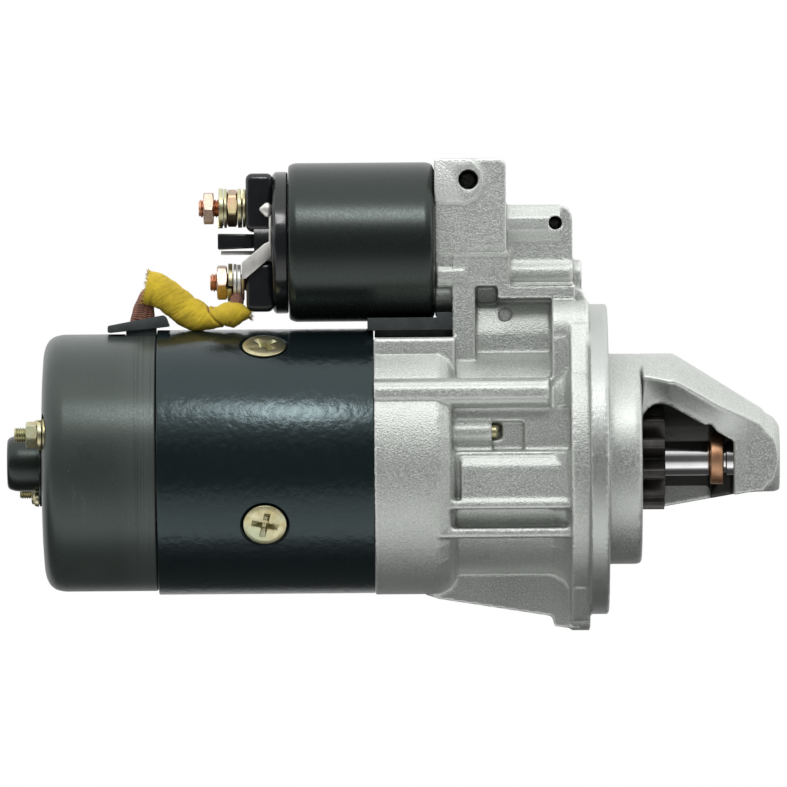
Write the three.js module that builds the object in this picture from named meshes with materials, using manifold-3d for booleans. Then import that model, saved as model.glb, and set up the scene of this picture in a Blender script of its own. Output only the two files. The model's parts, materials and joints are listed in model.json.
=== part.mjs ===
import * as THREE from 'three';
import { mergeVertices } from 'three/addons/utils/BufferGeometryUtils.js';
import Module from 'manifold-3d';

// Starter motor of the pre-engaged kind. Millimetres.
// Origin: motor axis at the flange's mounting face. +X runs out of the nose, +Z up to the solenoid.

const wasm = await Module();
wasm.setup();

// ---------------------------------------------------------------- driving dimensions

const gap = 0.3;                    // clearance left between pieces that touch
const fine = 36;                    // sides of the large round pieces
const medium = 20;                  // sides of the mid-size round pieces
const coarse = 10;                  // sides of pins, screws and small holes

const yokeRadius = 56;
const yokeBore = 50.6;
const yokeRear = -190.1;
const yokeFront = -98.9;
const poleX = -144.8;               // middle of the pole shoes and of their screws
const poleAngles = [-28.25, 61.75, 151.75, 241.75];   // from the front (-Y) side, upward
const boltAngles = [16.75, 196.75];
const boltCircle = 42;
const boltRadius = 3.2;
const boltRear = -249.9;
const boltFront = -46.6;

const coverRadius = 54.4;
const coverEnd = -238.6;
const bearingCapRadius = 11.8;
const bearingCapEnd = -254;

const bellRadius = 56.6;
const bellRear = -98.6;
const neckRadius = 48.3;
const neckBore = 34;
const flangeRadius = 65.6;
const flangeThickness = 8;
const plateRadius = 61;              // rough plate behind the turned flange
const plateRear = -16;
const pilotRadius = 44.5;
const pilotLength = 14.1;
const lugCircle = 60;
const lugRadius = 12.4;
const lugHoleRadius = 5.5;
const lugHoleCircle = 57.4;          // inside the lug circle, so that a wall is left at the rim
const lugSpots = [[-25, 54.5], [51.5, 31], [0, -lugCircle]];   // y, z of the lug centres
const pinionBore = 24.5;
const noseTip = 72.6;

const solenoidZ = 92.6;
const solenoidRadius = 33.6;
const solenoidFront = -72.8;
const solenoidRear = -134.2;
const blockFront = -42.4;
const blockTop = 127.4;
const batteryStudZ = 107.3;
const motorStudZ = 75.9;
const capEnd = -152.2;

const shaftRadius = 7.3;
const pinionFace = 24.1;
const pinionRadius = 21.5;
const pinionTeeth = 10;
const coreRadius = 35.2;
const leverPivot = [-43, 61.2];     // x, z
const leverTilt = 8.6;              // degrees back from upright at rest
const leverUpper = 31.4;
const leverLower = 61.2;
const padX = leverPivot[0] - leverLower * Math.tan(THREE.MathUtils.degToRad(leverTilt));
const eyeX = leverPivot[0] + leverUpper * Math.tan(THREE.MathUtils.degToRad(leverTilt));

// ---------------------------------------------------------------- solid helpers

// A closed manifold solid from a three.js geometry.
function solid(geometry) {
  const bare = geometry.clone();
  bare.deleteAttribute('normal');
  bare.deleteAttribute('uv');
  const merged = mergeVertices(bare, 1e-4);
  const corners = merged.index.array;
  const kept = [];
  for (let i = 0; i < corners.length; i += 3) {
    const [a, b, c] = [corners[i], corners[i + 1], corners[i + 2]];
    if (a !== b && b !== c && a !== c) kept.push(a, b, c);
  }
  const mesh = new wasm.Mesh({
    numProp: 3,
    vertProperties: Float32Array.from(merged.attributes.position.array),
    triVerts: Uint32Array.from(kept),
  });
  return new wasm.Manifold(mesh);
}

function join(...parts) {
  return parts.reduce((whole, part) => whole.add(part));
}

function cut(whole, ...tools) {
  return tools.reduce((left, tool) => left.subtract(tool), whole);
}

function box(x0, x1, y0, y1, z0, z1) {
  const geometry = new THREE.BoxGeometry(x1 - x0, y1 - y0, z1 - z0);
  geometry.translate((x0 + x1) / 2, (y0 + y1) / 2, (z0 + z1) / 2);
  return solid(geometry);
}

function rodX(radius, x0, x1, y = 0, z = 0, sides = medium) {
  const geometry = new THREE.CylinderGeometry(radius, radius, x1 - x0, sides);
  geometry.rotateZ(-Math.PI / 2);
  geometry.translate((x0 + x1) / 2, y, z);
  return solid(geometry);
}

function rodY(radius, y0, y1, x, z, sides = coarse) {
  const geometry = new THREE.CylinderGeometry(radius, radius, y1 - y0, sides);
  geometry.translate(0, (y0 + y1) / 2, 0);
  geometry.translate(x, 0, z);
  return solid(geometry);
}

// Turned body about a line parallel to X: profile points are [x, radius].
function turned(profile, sides = medium, y = 0, z = 0) {
  const points = profile.map(([x, radius]) => new THREE.Vector2(radius, x));
  const geometry = new THREE.LatheGeometry(points, sides);
  geometry.rotateZ(-Math.PI / 2);
  geometry.translate(0, y, z);
  const body = solid(geometry);
  return body.volume() < 0 ? solid(flipped(geometry)) : body;
}

function flipped(geometry) {
  const turnedOver = geometry.clone();
  const index = turnedOver.index.array;
  for (let i = 0; i < index.length; i += 3) {
    [index[i], index[i + 1]] = [index[i + 1], index[i]];
  }
  return turnedOver;
}

// Ring about the motor axis or a line parallel to it.
function ring(inner, outer, x0, x1, y = 0, z = 0, sides = medium) {
  return turned([[x0, inner], [x0, outer], [x1, outer], [x1, inner], [x0, inner]], sides, y, z);
}

function extruded(outline, depth, basis, shift) {
  const shape = new THREE.Shape(outline.map(([u, v]) => new THREE.Vector2(u, v)));
  const geometry = new THREE.ExtrudeGeometry(shape, { depth, bevelEnabled: false, steps: 1 });
  geometry.applyMatrix4(basis);
  geometry.translate(...shift);
  return solid(geometry);
}

// Outline of [x, z] points, thick along Y.
function slabY(outline, y0, y1) {
  const basis = new THREE.Matrix4().makeBasis(
    new THREE.Vector3(1, 0, 0), new THREE.Vector3(0, 0, 1), new THREE.Vector3(0, -1, 0));
  return extruded(outline, y1 - y0, basis, [0, y1, 0]);
}

// Outline of [y, z] points, thick along X.
function slabX(outline, x0, x1) {
  const basis = new THREE.Matrix4().makeBasis(
    new THREE.Vector3(0, 1, 0), new THREE.Vector3(0, 0, 1), new THREE.Vector3(1, 0, 0));
  return extruded(outline, x1 - x0, basis, [x0, 0, 0]);
}

// Point in the YZ plane at an angle measured from -Y towards +Z.
function polar(radius, degrees) {
  const angle = THREE.MathUtils.degToRad(degrees);
  return [-radius * Math.cos(angle), radius * Math.sin(angle)];
}

// Piece of a tube wall between two radii and two angles.
function sector(inner, outer, from, to, x0, x1, steps = 8) {
  const outline = [];
  for (let i = 0; i <= steps; i += 1) outline.push(polar(outer, from + (to - from) * i / steps));
  for (let i = steps; i >= 0; i -= 1) outline.push(polar(inner, from + (to - from) * i / steps));
  return slabX(outline, x0, x1);
}

// Body turned about a radial line: profile points are [distance from the axis, radius].
function radial(profile, sides, x, degrees) {
  const points = profile.map(([distance, radius]) => new THREE.Vector2(radius, distance));
  const geometry = new THREE.LatheGeometry(points, sides);
  geometry.rotateX(THREE.MathUtils.degToRad(180 - degrees));
  geometry.translate(x, 0, 0);
  const body = solid(geometry);
  return body.volume() < 0 ? solid(flipped(geometry)) : body;
}

// Box standing on a radial line: long along X, wide across, between two distances from the axis.
function radialBox(x0, x1, width, inner, outer, degrees) {
  const geometry = new THREE.BoxGeometry(x1 - x0, outer - inner, width);
  geometry.translate((x0 + x1) / 2, (inner + outer) / 2, 0);
  geometry.rotateX(THREE.MathUtils.degToRad(180 - degrees));
  return solid(geometry);
}

function hexPrism(acrossFlats, x0, x1, y, z) {
  return rodX(acrossFlats / Math.sqrt(3), x0, x1, y, z, 6);
}

// Round bar swept along a smooth curve through the given points.
function swept(points, radius, sides, steps, inner = 0) {
  const path = new THREE.CatmullRomCurve3(points.map((point) => new THREE.Vector3(...point)));
  const circle = (size) => {
    const spots = [];
    for (let i = 0; i < sides; i += 1) {
      const angle = i * 2 * Math.PI / sides;
      spots.push(new THREE.Vector2(size * Math.cos(angle), size * Math.sin(angle)));
    }
    return spots;
  };
  const shape = new THREE.Shape(circle(radius));
  if (inner > 0) shape.holes.push(new THREE.Path(circle(inner)));
  const geometry = new THREE.ExtrudeGeometry(shape, { steps, extrudePath: path });
  return solid(geometry);
}

// Coil spring about a line parallel to X.
function spring(radius, wire, x0, x1, turns, y = 0, z = 0, perTurn = 8) {
  const count = Math.round(turns * perTurn);
  const points = [];
  for (let i = 0; i <= count; i += 1) {
    const angle = i * 2 * Math.PI / perTurn;
    const x = x0 + wire + (x1 - x0 - 2 * wire) * i / count;
    points.push([x, y + radius * Math.cos(angle), z + radius * Math.sin(angle)]);
  }
  return swept(points, wire, 4, count);
}

function toGeometry(manifold) {
  const mesh = manifold.getMesh();
  const geometry = new THREE.BufferGeometry();
  const spots = new Float32Array(mesh.numVert * 3);
  for (let i = 0; i < mesh.numVert; i += 1) {
    for (let k = 0; k < 3; k += 1) spots[i * 3 + k] = mesh.vertProperties[i * mesh.numProp + k];
  }
  geometry.setAttribute('position', new THREE.BufferAttribute(spots, 3));
  geometry.setIndex(new THREE.BufferAttribute(Uint32Array.from(mesh.triVerts), 1));
  geometry.computeVertexNormals();
  return geometry;
}

// ---------------------------------------------------------------- finishes

const finishes = {
  castAluminium: { color: 0xb9b6ae, roughness: 0.55, metalness: 0.7 },
  blackPaint: { color: 0x12181b, roughness: 0.25, metalness: 0.2 },
  satinPaint: { color: 0x2c3130, roughness: 0.5, metalness: 0.2 },
  steel: { color: 0x9a9c9e, roughness: 0.3, metalness: 1.0 },
  darkSteel: { color: 0x3c3e40, roughness: 0.4, metalness: 0.9 },
  yellowZinc: { color: 0xc0a860, roughness: 0.35, metalness: 0.9 },
  copper: { color: 0xb5714a, roughness: 0.35, metalness: 1.0 },
  bronze: { color: 0x9a6a42, roughness: 0.45, metalness: 0.9 },
  tin: { color: 0xc9c9c4, roughness: 0.3, metalness: 1.0 },
  blackPlastic: { color: 0x0d0f10, roughness: 0.2, metalness: 0.0 },
  rubber: { color: 0x23282a, roughness: 0.7, metalness: 0.0 },
  braid: { color: 0x6e3f30, roughness: 0.8, metalness: 0.2 },
  yellowCloth: { color: 0xb7a233, roughness: 0.9, metalness: 0.0 },
  carbon: { color: 0x3a3836, roughness: 0.8, metalness: 0.1 },
  lamination: { color: 0x6f7274, roughness: 0.5, metalness: 0.8 },
};

const group = new THREE.Group();
group.name = 'starter_motor';

function assembly(name) {
  const branch = new THREE.Group();
  branch.name = name;
  group.add(branch);
  return branch;
}

function add(branch, name, body, finish) {
  const mesh = new THREE.Mesh(toGeometry(body), new THREE.MeshStandardMaterial(finishes[finish]));
  mesh.name = name;
  branch.add(mesh);
}

// ---------------------------------------------------------------- drive-end housing

// Neck, bell and flange before any hollow is cut.
function housingShell() {
  const bell = turned([[bellRear, 0], [bellRear, bellRadius], [-71.5, bellRadius], [-67.2, 54.6],
    [-65, 51.4], [-64.5, neckRadius - 1], [-64.5, 0]], fine);
  const flat = 51.8;
  const trimmed = cut(bell, box(bellRear - 1, -60, -60, 60, flat, 70));
  const saddle = box(bellRear, -64.5, -34.8, 34.8, 30, flat);
  const neck = rodX(neckRadius, -66, -13, 0, 0, fine);
  const disc = turned([[-flangeThickness, 0], [-flangeThickness, flangeRadius], [-0.8, flangeRadius],
    [0, flangeRadius - 0.8], [0, 0]], fine);
  const [near, , low] = lugSpots;
  const plate = slabX(hullOutline([[0, 0, plateRadius], [...near, lugRadius], [...low, lugRadius]]),
    plateRear, -flangeThickness + 0.1);
  const flare = turned([[-27, 0], [-27, neckRadius - 0.4], [-22, 49.1], [-18.2, 51.4], [plateRear + 0.1, 55.5],
    [plateRear + 0.1, 0]], fine);
  return join(trimmed, saddle, neck, flare, plate, disc);
}

// Outline of a band stretched round circles given as [y, z, radius].
function hullOutline(circles) {
  const points = [];
  for (const [y, z, radius] of circles) {
    for (let i = 0; i < fine; i += 1) {
      const [dy, dz] = polar(radius, i * 360 / fine);
      points.push([y + dy, z + dz]);
    }
  }
  points.sort((a, b) => a[0] - b[0] || a[1] - b[1]);
  const turn = (a, b, c) => (b[0] - a[0]) * (c[1] - a[1]) - (b[1] - a[1]) * (c[0] - a[0]);
  const chain = (list) => {
    const kept = [];
    for (const point of list) {
      while (kept.length > 1 && turn(kept[kept.length - 2], kept[kept.length - 1], point) <= 0) kept.pop();
      kept.push(point);
    }
    return kept.slice(0, -1);
  };
  return [...chain(points), ...chain([...points].reverse())];
}

// Bosses on the upper flange lugs, and the far lug itself.
function flangeLugs() {
  const [near, far] = lugSpots;
  const nearBoss = rodX(lugRadius, -23.5, -7.8, near[0], near[1], medium);
  const farBoss = rodX(lugRadius, -16, -7.8, far[0], far[1], medium);
  const nearWeb = box(-23.5, -13, -37.6, -14, 30, 54);
  const farWeb = slabX([[28, 8], [47, 19.5], [57, 42], [30, 46]], -16, -7.8);
  return join(nearBoss, farBoss, nearWeb, farWeb);
}

// Ribs, pads and fastener bosses cast on the outside of the neck.
function neckRelief() {
  const ridgeZ = 28.5;
  const ridgeRadius = 5.9;
  const outward = -46;
  const parts = [];
  for (const side of [1, -1]) {
    parts.push(rodX(ridgeRadius, bellRear, -25, outward * side, ridgeZ, coarse));
    const [y0, y1] = side > 0 ? [outward, -20] : [20, -outward];
    parts.push(box(bellRear, -25, y0, y1, ridgeZ - ridgeRadius, ridgeZ + ridgeRadius));
  }
  parts.push(slabX([[-38, -15.1], [-50.5, -15.1], [-50.5, -2.5], [-49, 1.2], [-45.5, 3.5], [-38, 3.5]],
    -62.2, -14));
  parts.push(box(-68.7, -14, -51.5, -30, -20.3, -16.8));
  parts.push(box(-71.3, -14, -47.5, -20, -32.3, -28.4));
  parts.push(box(-70, -14, 30, 50, -3, 3));
  parts.push(box(-70, -14, 20, 47.5, -32.3, -28.4));
  const gusset = [[-90, -50], [-78.7, -56.4], [-71.7, -58.6], [-24.2, -66.2], [-22.9, -70.5],
    [-12, -72], [-12, -36], [-90, -36]];
  parts.push(slabY(gusset, -6, 6));
  return join(...parts);
}

// Hood over the pinion: closed roof and far wall, open in front and underneath.
function nose() {
  const roof = turned([[0, 0], [0, pilotRadius], [27.4, pilotRadius], [30, 43.2], [65.1, 21.1],
    [66.7, 19.2], [69.9, 17.4], [72.3, 14.2], [noseTip, 13], [noseTip, 0]], fine);
  const lowerEdge = slabY([[-10, -24.7], [24.1, -20.5], [58.8, -14.5], [80, -13], [80, -70], [-10, -70]],
    -60, 60);
  const frontCheek = new THREE.Shape([[-10, -22.2], [70, -15.5], [90, -15.5], [90, -60], [-10, -60]]
    .map(([x, y]) => new THREE.Vector2(x, y)));
  const cheekGeometry = new THREE.ExtrudeGeometry(frontCheek, { depth: 160, bevelEnabled: false });
  cheekGeometry.translate(0, 0, -80);
  const backCheek = new THREE.Shape([[-10, 28.2], [40, 27.8], [72, 17], [90, 17], [90, 60], [-10, 60]]
    .map(([x, y]) => new THREE.Vector2(x, y)));
  const backGeometry = new THREE.ExtrudeGeometry(backCheek, { depth: 160, bevelEnabled: false });
  backGeometry.translate(0, 0, -80);
  const hood = cut(roof, lowerEdge, solid(cheekGeometry), solid(backGeometry));
  const tipBoss = turned([[52.9, 0], [52.9, 14.6], [70.6, 14.3], [72.2, 13.2], [noseTip, 12.4], [noseTip, 0]]);
  const pilot = turned([[-1, 0], [-1, pilotRadius], [pilotLength - 1.7, pilotRadius],
    [pilotLength - 0.5, pilotRadius - 0.6], [pilotLength, pilotRadius - 1.9], [pilotLength, 0]], fine);
  return join(hood, tipBoss, pilot);
}

// Space inside the nose for the pinion, its travel and the ring gear.
function noseHollow() {
  const bore = turned([[-10, 0], [-10, pinionBore], [pilotLength + 0.2, pinionBore], [pilotLength + 0.2, 22.4],
    [43.4, 22.4], [50.5, 15.5], [52.9, 15.5], [52.9, 0]], medium);
  const windowEdge = [[pilotLength, -70], [pilotLength, 14.5], [14.9, 18.6], [17, 21.4], [19.8, 23],
    [22.6, 23.3], [25.8, 22.5], [52.9, 7.3], [52.9, -70]];
  const frontWindow = slabY(windowEdge, -60, 0);
  const below = box(pilotLength, 44, -23.4, 23.4, -60, 0);
  const belowTip = box(43.5, 52.9, -15.5, 15.5, -60, 0);
  return join(bore, frontWindow, below, belowTip);
}

// Block the solenoid is screwed to, its legs, and the case round the lever.
function solenoidSeat() {
  const halfWidth = 25;
  const corner = 2;
  const block = slabY([[-72.5, 87.1], [blockFront, 87.1], [blockFront, blockTop - corner],
    [blockFront - corner, blockTop], [-72.5, blockTop]], -halfWidth, halfWidth);
  const column = box(-65, -20, -17, 17, 36, 90);
  const seatRing = rodX(24, -72.5, -60, 0, solenoidZ - 8, medium);
  const parts = [block, column, seatRing];
  for (const side of [-1, 1]) {
    const [inner, outer] = side < 0 ? [-halfWidth + 0.8, -12] : [12, halfWidth - 0.8];
    parts.push(box(-65, -55.9, inner, outer, 36, 88));
    parts.push(box(-45.8, -41.4, inner, outer, 68.3, 88));
    parts.push(box(-60, -43, inner, outer, 79.5, 88));
    parts.push(box(-46, -13.5, inner, outer, 68.3, 73.8));
    parts.push(rodX(8, -46, -19.5, side * 13, 99.6, coarse));
    parts.push(rodX(6.2, -46, -14.4, side * 13.6, 78.6, coarse));
    parts.push(rodX(6, -72, -60, side * 19, 78, coarse));
  }
  const leverCase = slabY([[-46, 66], [-14.4, 66], [-14.4, 102.6], [-15.9, 106.1], [-19.4, 107.6],
    [-46, 107.6]], -17, 17);
  const padY = -halfWidth - 0.9;
  const pad = join(rodY(9.2, padY, -20, -61.1, 118.1, medium), box(-72.5, -61.1, padY, -20, 108.9, blockTop));
  const sideBoss = rodX(6.2, -20, -10.6, -8, 78.3, coarse);
  const slope = slabY([[-14.8, 60], [-8.1, 60], [-8.1, 66], [-10.5, 71.5], [-14.8, 74]], -14, 14);
  return join(...parts, leverCase, pad, sideBoss, slope);
}

// Bores and slots through the casting.
function housingHollow() {
  const [nearX, nearY] = [polar(boltCircle, boltAngles[0]), polar(boltCircle, boltAngles[1])];
  const parts = [
    turned([[-110, 0], [-110, 50.5], [-72, 50.5], [-67, 47], [-65.8, neckBore], [9, neckBore], [9, 0]], fine),
    rodX(15.4, -80, -56, 0, solenoidZ, medium),
    rodX(11.6, -57, -29, 0, solenoidZ, medium),
    box(-58.5, -27.5, -8.5, 8.5, 20, 102),
    box(-66, plateRear, -60, -42.8, 3.6, 22.5),
    box(-49.3, -35.6, -60, -40.6, 4.2, 16.4),
    rodY(4.3, -40, 14, -58.2, 118.4, coarse),
    rodY(3, -40, 6, -21.6, 99.9, coarse),
    rodY(3.3, -16, 16, leverPivot[0], leverPivot[1], coarse),
    box(-55.2, -46.2, -40, -11, 66, 79.4),
    box(-55.2, -46.2, 11, 40, 66, 79.4),
  ];
  for (const [y, z] of [nearX, nearY]) parts.push(rodX(boltRadius + gap, -75, -45, y, z, coarse));
  const inward = lugHoleCircle / lugCircle;
  for (const [y, z] of lugSpots) parts.push(rodX(lugHoleRadius, -40, 5, y * inward, z * inward, coarse));
  return join(...parts);
}

function housing() {
  const [y, z] = polar(boltCircle, boltAngles[0]);
  const boltHole = rodX(boltRadius + gap, -70, -40, y, z, coarse);
  const boltBoss = cut(rodX(5.2, -65.5, -49.3, y - 0.6, z, coarse), boltHole);
  const outside = join(housingShell(), flangeLugs(), neckRelief(), nose(), solenoidSeat());
  const hollowed = cut(outside, housingHollow(), noseHollow(), rodX(10.6, 52, 70.2, 0, 0, medium));
  return join(hollowed, boltBoss);
}

const front = assembly('drive_end');
add(front, 'drive_end_housing', housing(), 'castAluminium');
add(front, 'nose_bushing', ring(shaftRadius + gap, 10.3, 53.5, 69.9), 'bronze');

// ---------------------------------------------------------------- yoke, field and rear cover

function holesAtBolts(radius, x0, x1) {
  return join(...boltAngles.map((angle) => {
    const [y, z] = polar(boltCircle, angle);
    return rodX(radius, x0, x1, y, z, coarse);
  }));
}

function yoke() {
  const tube = ring(yokeBore, yokeRadius, yokeRear, yokeFront, 0, 0, fine);
  const seats = poleAngles.map((angle) => radial(
    [[46, 0], [46, 5.4], [51.8, 5.4], [55.5, 9.6], [60, 9.6], [60, 0]], coarse, poleX, angle));
  return cut(tube, ...seats);
}

// Pole shoe with its two tips, bored and threaded for the pole screw.
function poleShoe(angle) {
  const inner = 36.3;
  const outer = yokeBore - gap;
  const body = sector(inner, outer, angle - 17, angle + 17, poleX - 31, poleX + 31, 6);
  const tips = sector(inner, 40.6, angle - 34, angle + 34, poleX - 31, poleX + 31, 10);
  const bore = radial([[40.8, 0], [40.8, 5.3], [60, 5.3], [60, 0]], coarse, poleX, angle);
  return cut(join(body, tips), bore);
}

// Countersunk pole screw with a cross recess.
function poleScrew(angle) {
  const head = radial([[41.4, 0], [41.4, 4.9], [51.6, 4.9], [55.3, 9.1], [56.3, 9.1], [56.3, 0]],
    coarse, poleX, angle);
  const blade = radialBox(poleX - 5.2, poleX + 5.2, 1.9, 53.2, 58, angle);
  const crossBlade = radialBox(poleX - 0.95, poleX + 0.95, 10.4, 53.2, 58, angle);
  return cut(head, blade, crossBlade);
}

// Four coils round the pole shoes, joined in series.
function fieldWinding() {
  const inner = 41.2;
  const outer = yokeBore - 0.8;
  const coils = poleAngles.map((angle) => {
    const block = sector(inner, outer, angle - 35, angle + 35, poleX - 40, poleX + 40, 10);
    return cut(block, sector(inner - 1, outer + 1, angle - 18.2, angle + 18.2, poleX - 31.6, poleX + 31.6, 6));
  });
  const links = [1, 2, 3].map((i) => {
    const middle = poleAngles[i] - 45;
    return sector(46.4, outer - 0.4, middle - 12, middle + 12, poleX - 39, poleX - 33, 4);
  });
  return join(...coils, ...links);
}

function rearCover() {
  const shell = turned([[yokeRear - gap, 51.6], [yokeRear - gap, coverRadius], [-232.2, coverRadius],
    [-235.8, 53.2], [-237.8, 50.6], [coverEnd, 47.4], [coverEnd - 0.5, 12], [coverEnd - 0.5, 7.2],
    [-228.5, 7.2], [-228.5, 12.6], [-233.6, 14], [-233.2, 48.2], [-231.1, 51.6], [yokeRear - gap, 51.6]], fine);
  const pockets = boltAngles.map((angle) => {
    const [y, z] = polar(boltCircle, angle);
    return rodX(9.2, -250, -236.6, y, z, coarse);
  });
  const leadNotch = box(-203.6, -190, -9.3, 9.3, 48, 58);
  const screwHoles = [15.2, -15.2].map((z) => rodX(1.9, -250, -230, 0, z, 12));
  return cut(shell, ...pockets, leadNotch, holesAtBolts(boltRadius + gap, -250, -230), ...screwHoles);
}

function bearingCap() {
  const front = coverEnd - 0.8;
  const cup = turned([[front, 9.6], [front, bearingCapRadius], [-250, bearingCapRadius], [-252.9, 10.4],
    [bearingCapEnd, 7.4], [bearingCapEnd, 0], [-252.6, 0], [-252.6, 7], [-250, 9.6], [front, 9.6]]);
  const earOutline = [[-4.4, -18.2], [4.4, -18.2], [7, -8], [7, 8], [4.4, 18.2], [-4.4, 18.2], [-7, 8], [-7, -8]];
  const ears = slabX(earOutline, front - 1.1, front);
  const holes = [15.2, -15.2].map((z) => rodX(1.9, -250, -230, 0, z, 12));
  return cut(join(cup, cut(ears, rodX(9.6, -250, -230))), ...holes);
}

function capScrew(z) {
  const head = coverEnd - 2.2;
  return join(rodX(3.2, head - 2.2, head, 0, z, 16), rodX(1.6, head - 0.1, -233, 0, z, 12));
}

const body = assembly('yoke_and_field');
add(body, 'centre_plate', cut(
  turned([[-98.3, 0], [-98.3, 50.2], [-95.2, 50.2], [-95.2, 17], [-88, 15.5], [-88, 0]], fine),
  rodX(10.5, -100, -80), holesAtBolts(boltRadius + gap, -100, -90)), 'steel');
add(body, 'yoke_tube', yoke(), 'blackPaint');
poleAngles.forEach((angle, i) => {
  add(body, `pole_shoe_${i + 1}`, poleShoe(angle), 'lamination');
  add(body, `pole_screw_${i + 1}`, poleScrew(angle), 'yellowZinc');
});
add(body, 'field_winding', fieldWinding(), 'copper');

const rear = assembly('commutator_end');
add(rear, 'rear_cover', rearCover(), 'satinPaint');
add(rear, 'bearing_cap', bearingCap(), 'blackPaint');
[15.2, -15.2].forEach((z, i) => add(rear, `cap_screw_${i + 1}`, capScrew(z), 'yellowZinc'));
boltAngles.forEach((angle, i) => {
  const [y, z] = polar(boltCircle, angle);
  const hole = rodX(boltRadius + gap, -260, -230, y, z, coarse);
  add(rear, `through_bolt_${i + 1}`, rodX(boltRadius, boltRear, boltFront, y, z, 16), 'yellowZinc');
  add(rear, `through_bolt_washer_${i + 1}`, cut(rodX(6.9, -239.8, -236.9, y, z, coarse), hole), 'yellowZinc');
  add(rear, `through_bolt_nut_${i + 1}`, cut(hexPrism(10, -245, -240.1, y, z), hole), 'yellowZinc');
});

// Round plate that carries four box-shaped brush guides.
function brushPlate() {
  const plate = cut(ring(22.5, 50.6, -219, -217, 0, 0, medium), holesAtBolts(5.2, -230, -200));
  const guides = poleAngles.map((angle) => cut(
    radialBox(-217.5, -195.5, 13.2, 22.5, 46.5, angle),
    radialBox(-215.6, -190, 10.4, 20, 45.2, angle)));
  return join(plate, ...guides);
}

add(rear, 'brush_plate', brushPlate(), 'steel');
poleAngles.forEach((angle, i) => {
  const block = cut(radialBox(-215, -196.5, 9.8, 18, 34, angle), rodX(20.3, -230, -180, 0, 0, medium));
  add(rear, `brush_${i + 1}`, block, 'carbon');
});

// ---------------------------------------------------------------- solenoid

const caseFront = solenoidFront;
const switchCapFront = solenoidRear - gap;

function solenoidCase() {
  return turned([[solenoidRear, 30.8], [solenoidRear, solenoidRadius - 2], [solenoidRear + 1.2, solenoidRadius],
    [caseFront - 3.4, solenoidRadius], [caseFront - 1, solenoidRadius - 1], [caseFront, solenoidRadius - 3.4],
    [caseFront, 14.6], [caseFront - 4, 14.6], [caseFront - 4, 30.8], [solenoidRear, 30.8]], fine, 0, solenoidZ);
}

function switchCap() {
  const disc = turned([[switchCapFront, 0], [switchCapFront, 30], [-139.8, 30], [-141, 28.8], [-141, 0]],
    fine, 0, solenoidZ);
  const upper = box(capEnd, -140.5, -15.8, 15.8, 97.2, 121.8);
  const lower = box(capEnd, -140.5, -15.8, 15.8, 63.4, 84.5);
  const middle = rodX(16.1, capEnd + 3.4, -140.5, 0, solenoidZ, medium);
  const blade = box(-164.2, capEnd + 4, -9.5, 9.5, 91.2, 96.5);
  const headRoom = box(-146.2, -130, -7.6, 7.6, 70.6, 112.6);
  const chamber = join(rodX(14.9, -146.2, -130, 0, solenoidZ, medium), headRoom);
  const holes = [batteryStudZ, motorStudZ].map((z) => rodX(4.2, -170, -140, 0, z, coarse));
  const spadeSlot = box(-160, -146.9, -3.5, 3.5, 87, 89.8);
  return cut(join(disc, upper, lower, middle, blade), chamber, ...holes, spadeSlot);
}

function terminalStud(z, rearEnd) {
  return join(rodX(3.9, rearEnd, -143.4, 0, z, 16), box(-146, -143, -7, 7, z - 4.6, z + 4.6));
}

function terminalRing(outer, x0, x1, z) {
  return cut(rodX(outer, x0, x1, 0, z, coarse), rodX(4.2, x0 - 1, x1 + 1, 0, z, coarse));
}

function terminalNut(x0, x1, z) {
  return cut(hexPrism(13, x0, x1, 0, z), rodX(4.2, x0 - 1, x1 + 1, 0, z, coarse));
}

// Tinned strip: eyelet under the motor terminal, bent round the side of the cap.
function terminalStrap() {
  const eyelet = cut(box(-154.4, -153.2, -17.6, 6, 70.8, 81.4), rodX(4.2, -160, -150, 0, motorStudZ, coarse));
  const strip = slabY([[-154.4, 76.5], [-153.2, 76.5], [-141.6, 86.4], [-141.6, 106], [-142.8, 106],
    [-142.8, 92], [-154.4, 83.5]], -17.6, -16.4);
  return join(eyelet, strip);
}

const magnet = assembly('solenoid');
add(magnet, 'solenoid_case', solenoidCase(), 'blackPaint');
add(magnet, 'solenoid_coil', ring(14.6, 30, -126.4, -77.4, 0, solenoidZ), 'copper');
add(magnet, 'solenoid_core', turned([[-131, 3.4], [-131, 30.3], [-126.8, 30.3], [-126.8, 14], [-111.5, 14],
  [-111.5, 3.4], [-131, 3.4]], medium, 0, solenoidZ), 'steel');
add(magnet, 'switch_cap', switchCap(), 'blackPlastic');
add(magnet, 'battery_terminal', terminalStud(batteryStudZ, -172.2), 'copper');
add(magnet, 'motor_terminal', terminalStud(motorStudZ, -167.6), 'copper');
add(magnet, 'battery_washer', terminalRing(8.3, -164, -161, batteryStudZ), 'yellowZinc');
add(magnet, 'battery_nut_outer', terminalNut(-170.2, -164.4, batteryStudZ), 'copper');
add(magnet, 'battery_nut_inner', terminalNut(-160, -152.6, batteryStudZ), 'yellowZinc');
add(magnet, 'motor_washer', terminalRing(7.8, -160.2, -158.2, motorStudZ), 'yellowZinc');
add(magnet, 'motor_nut', terminalNut(-164.8, -160.5, motorStudZ), 'copper');
add(magnet, 'terminal_strap', terminalStrap(), 'tin');
add(magnet, 'spade_terminal', box(-163, -147.2, -3.15, 3.15, 87.6, 89.2), 'tin');

// ---------------------------------------------------------------- rubber and field lead

const sleevePath = [[-191.5, -3, 73.6], [-185, -3.5, 71.7], [-178.6, -5, 67.6], [-173, -7, 64.6],
  [-167, -8.5, 63.4], [-160.6, -9.5, 63.8]];
const leadPath = [[-197.2, 0, 46.5], [-197.2, 0, 56], [-197.6, -1, 64], [-196.4, -2.4, 70.5], ...sleevePath,
  [-157.2, -8.6, 65.8], [-156.2, -6, 68.2], [-156.3, -2.6, 69.8], [-156.3, 0, 72.2]];

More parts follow.
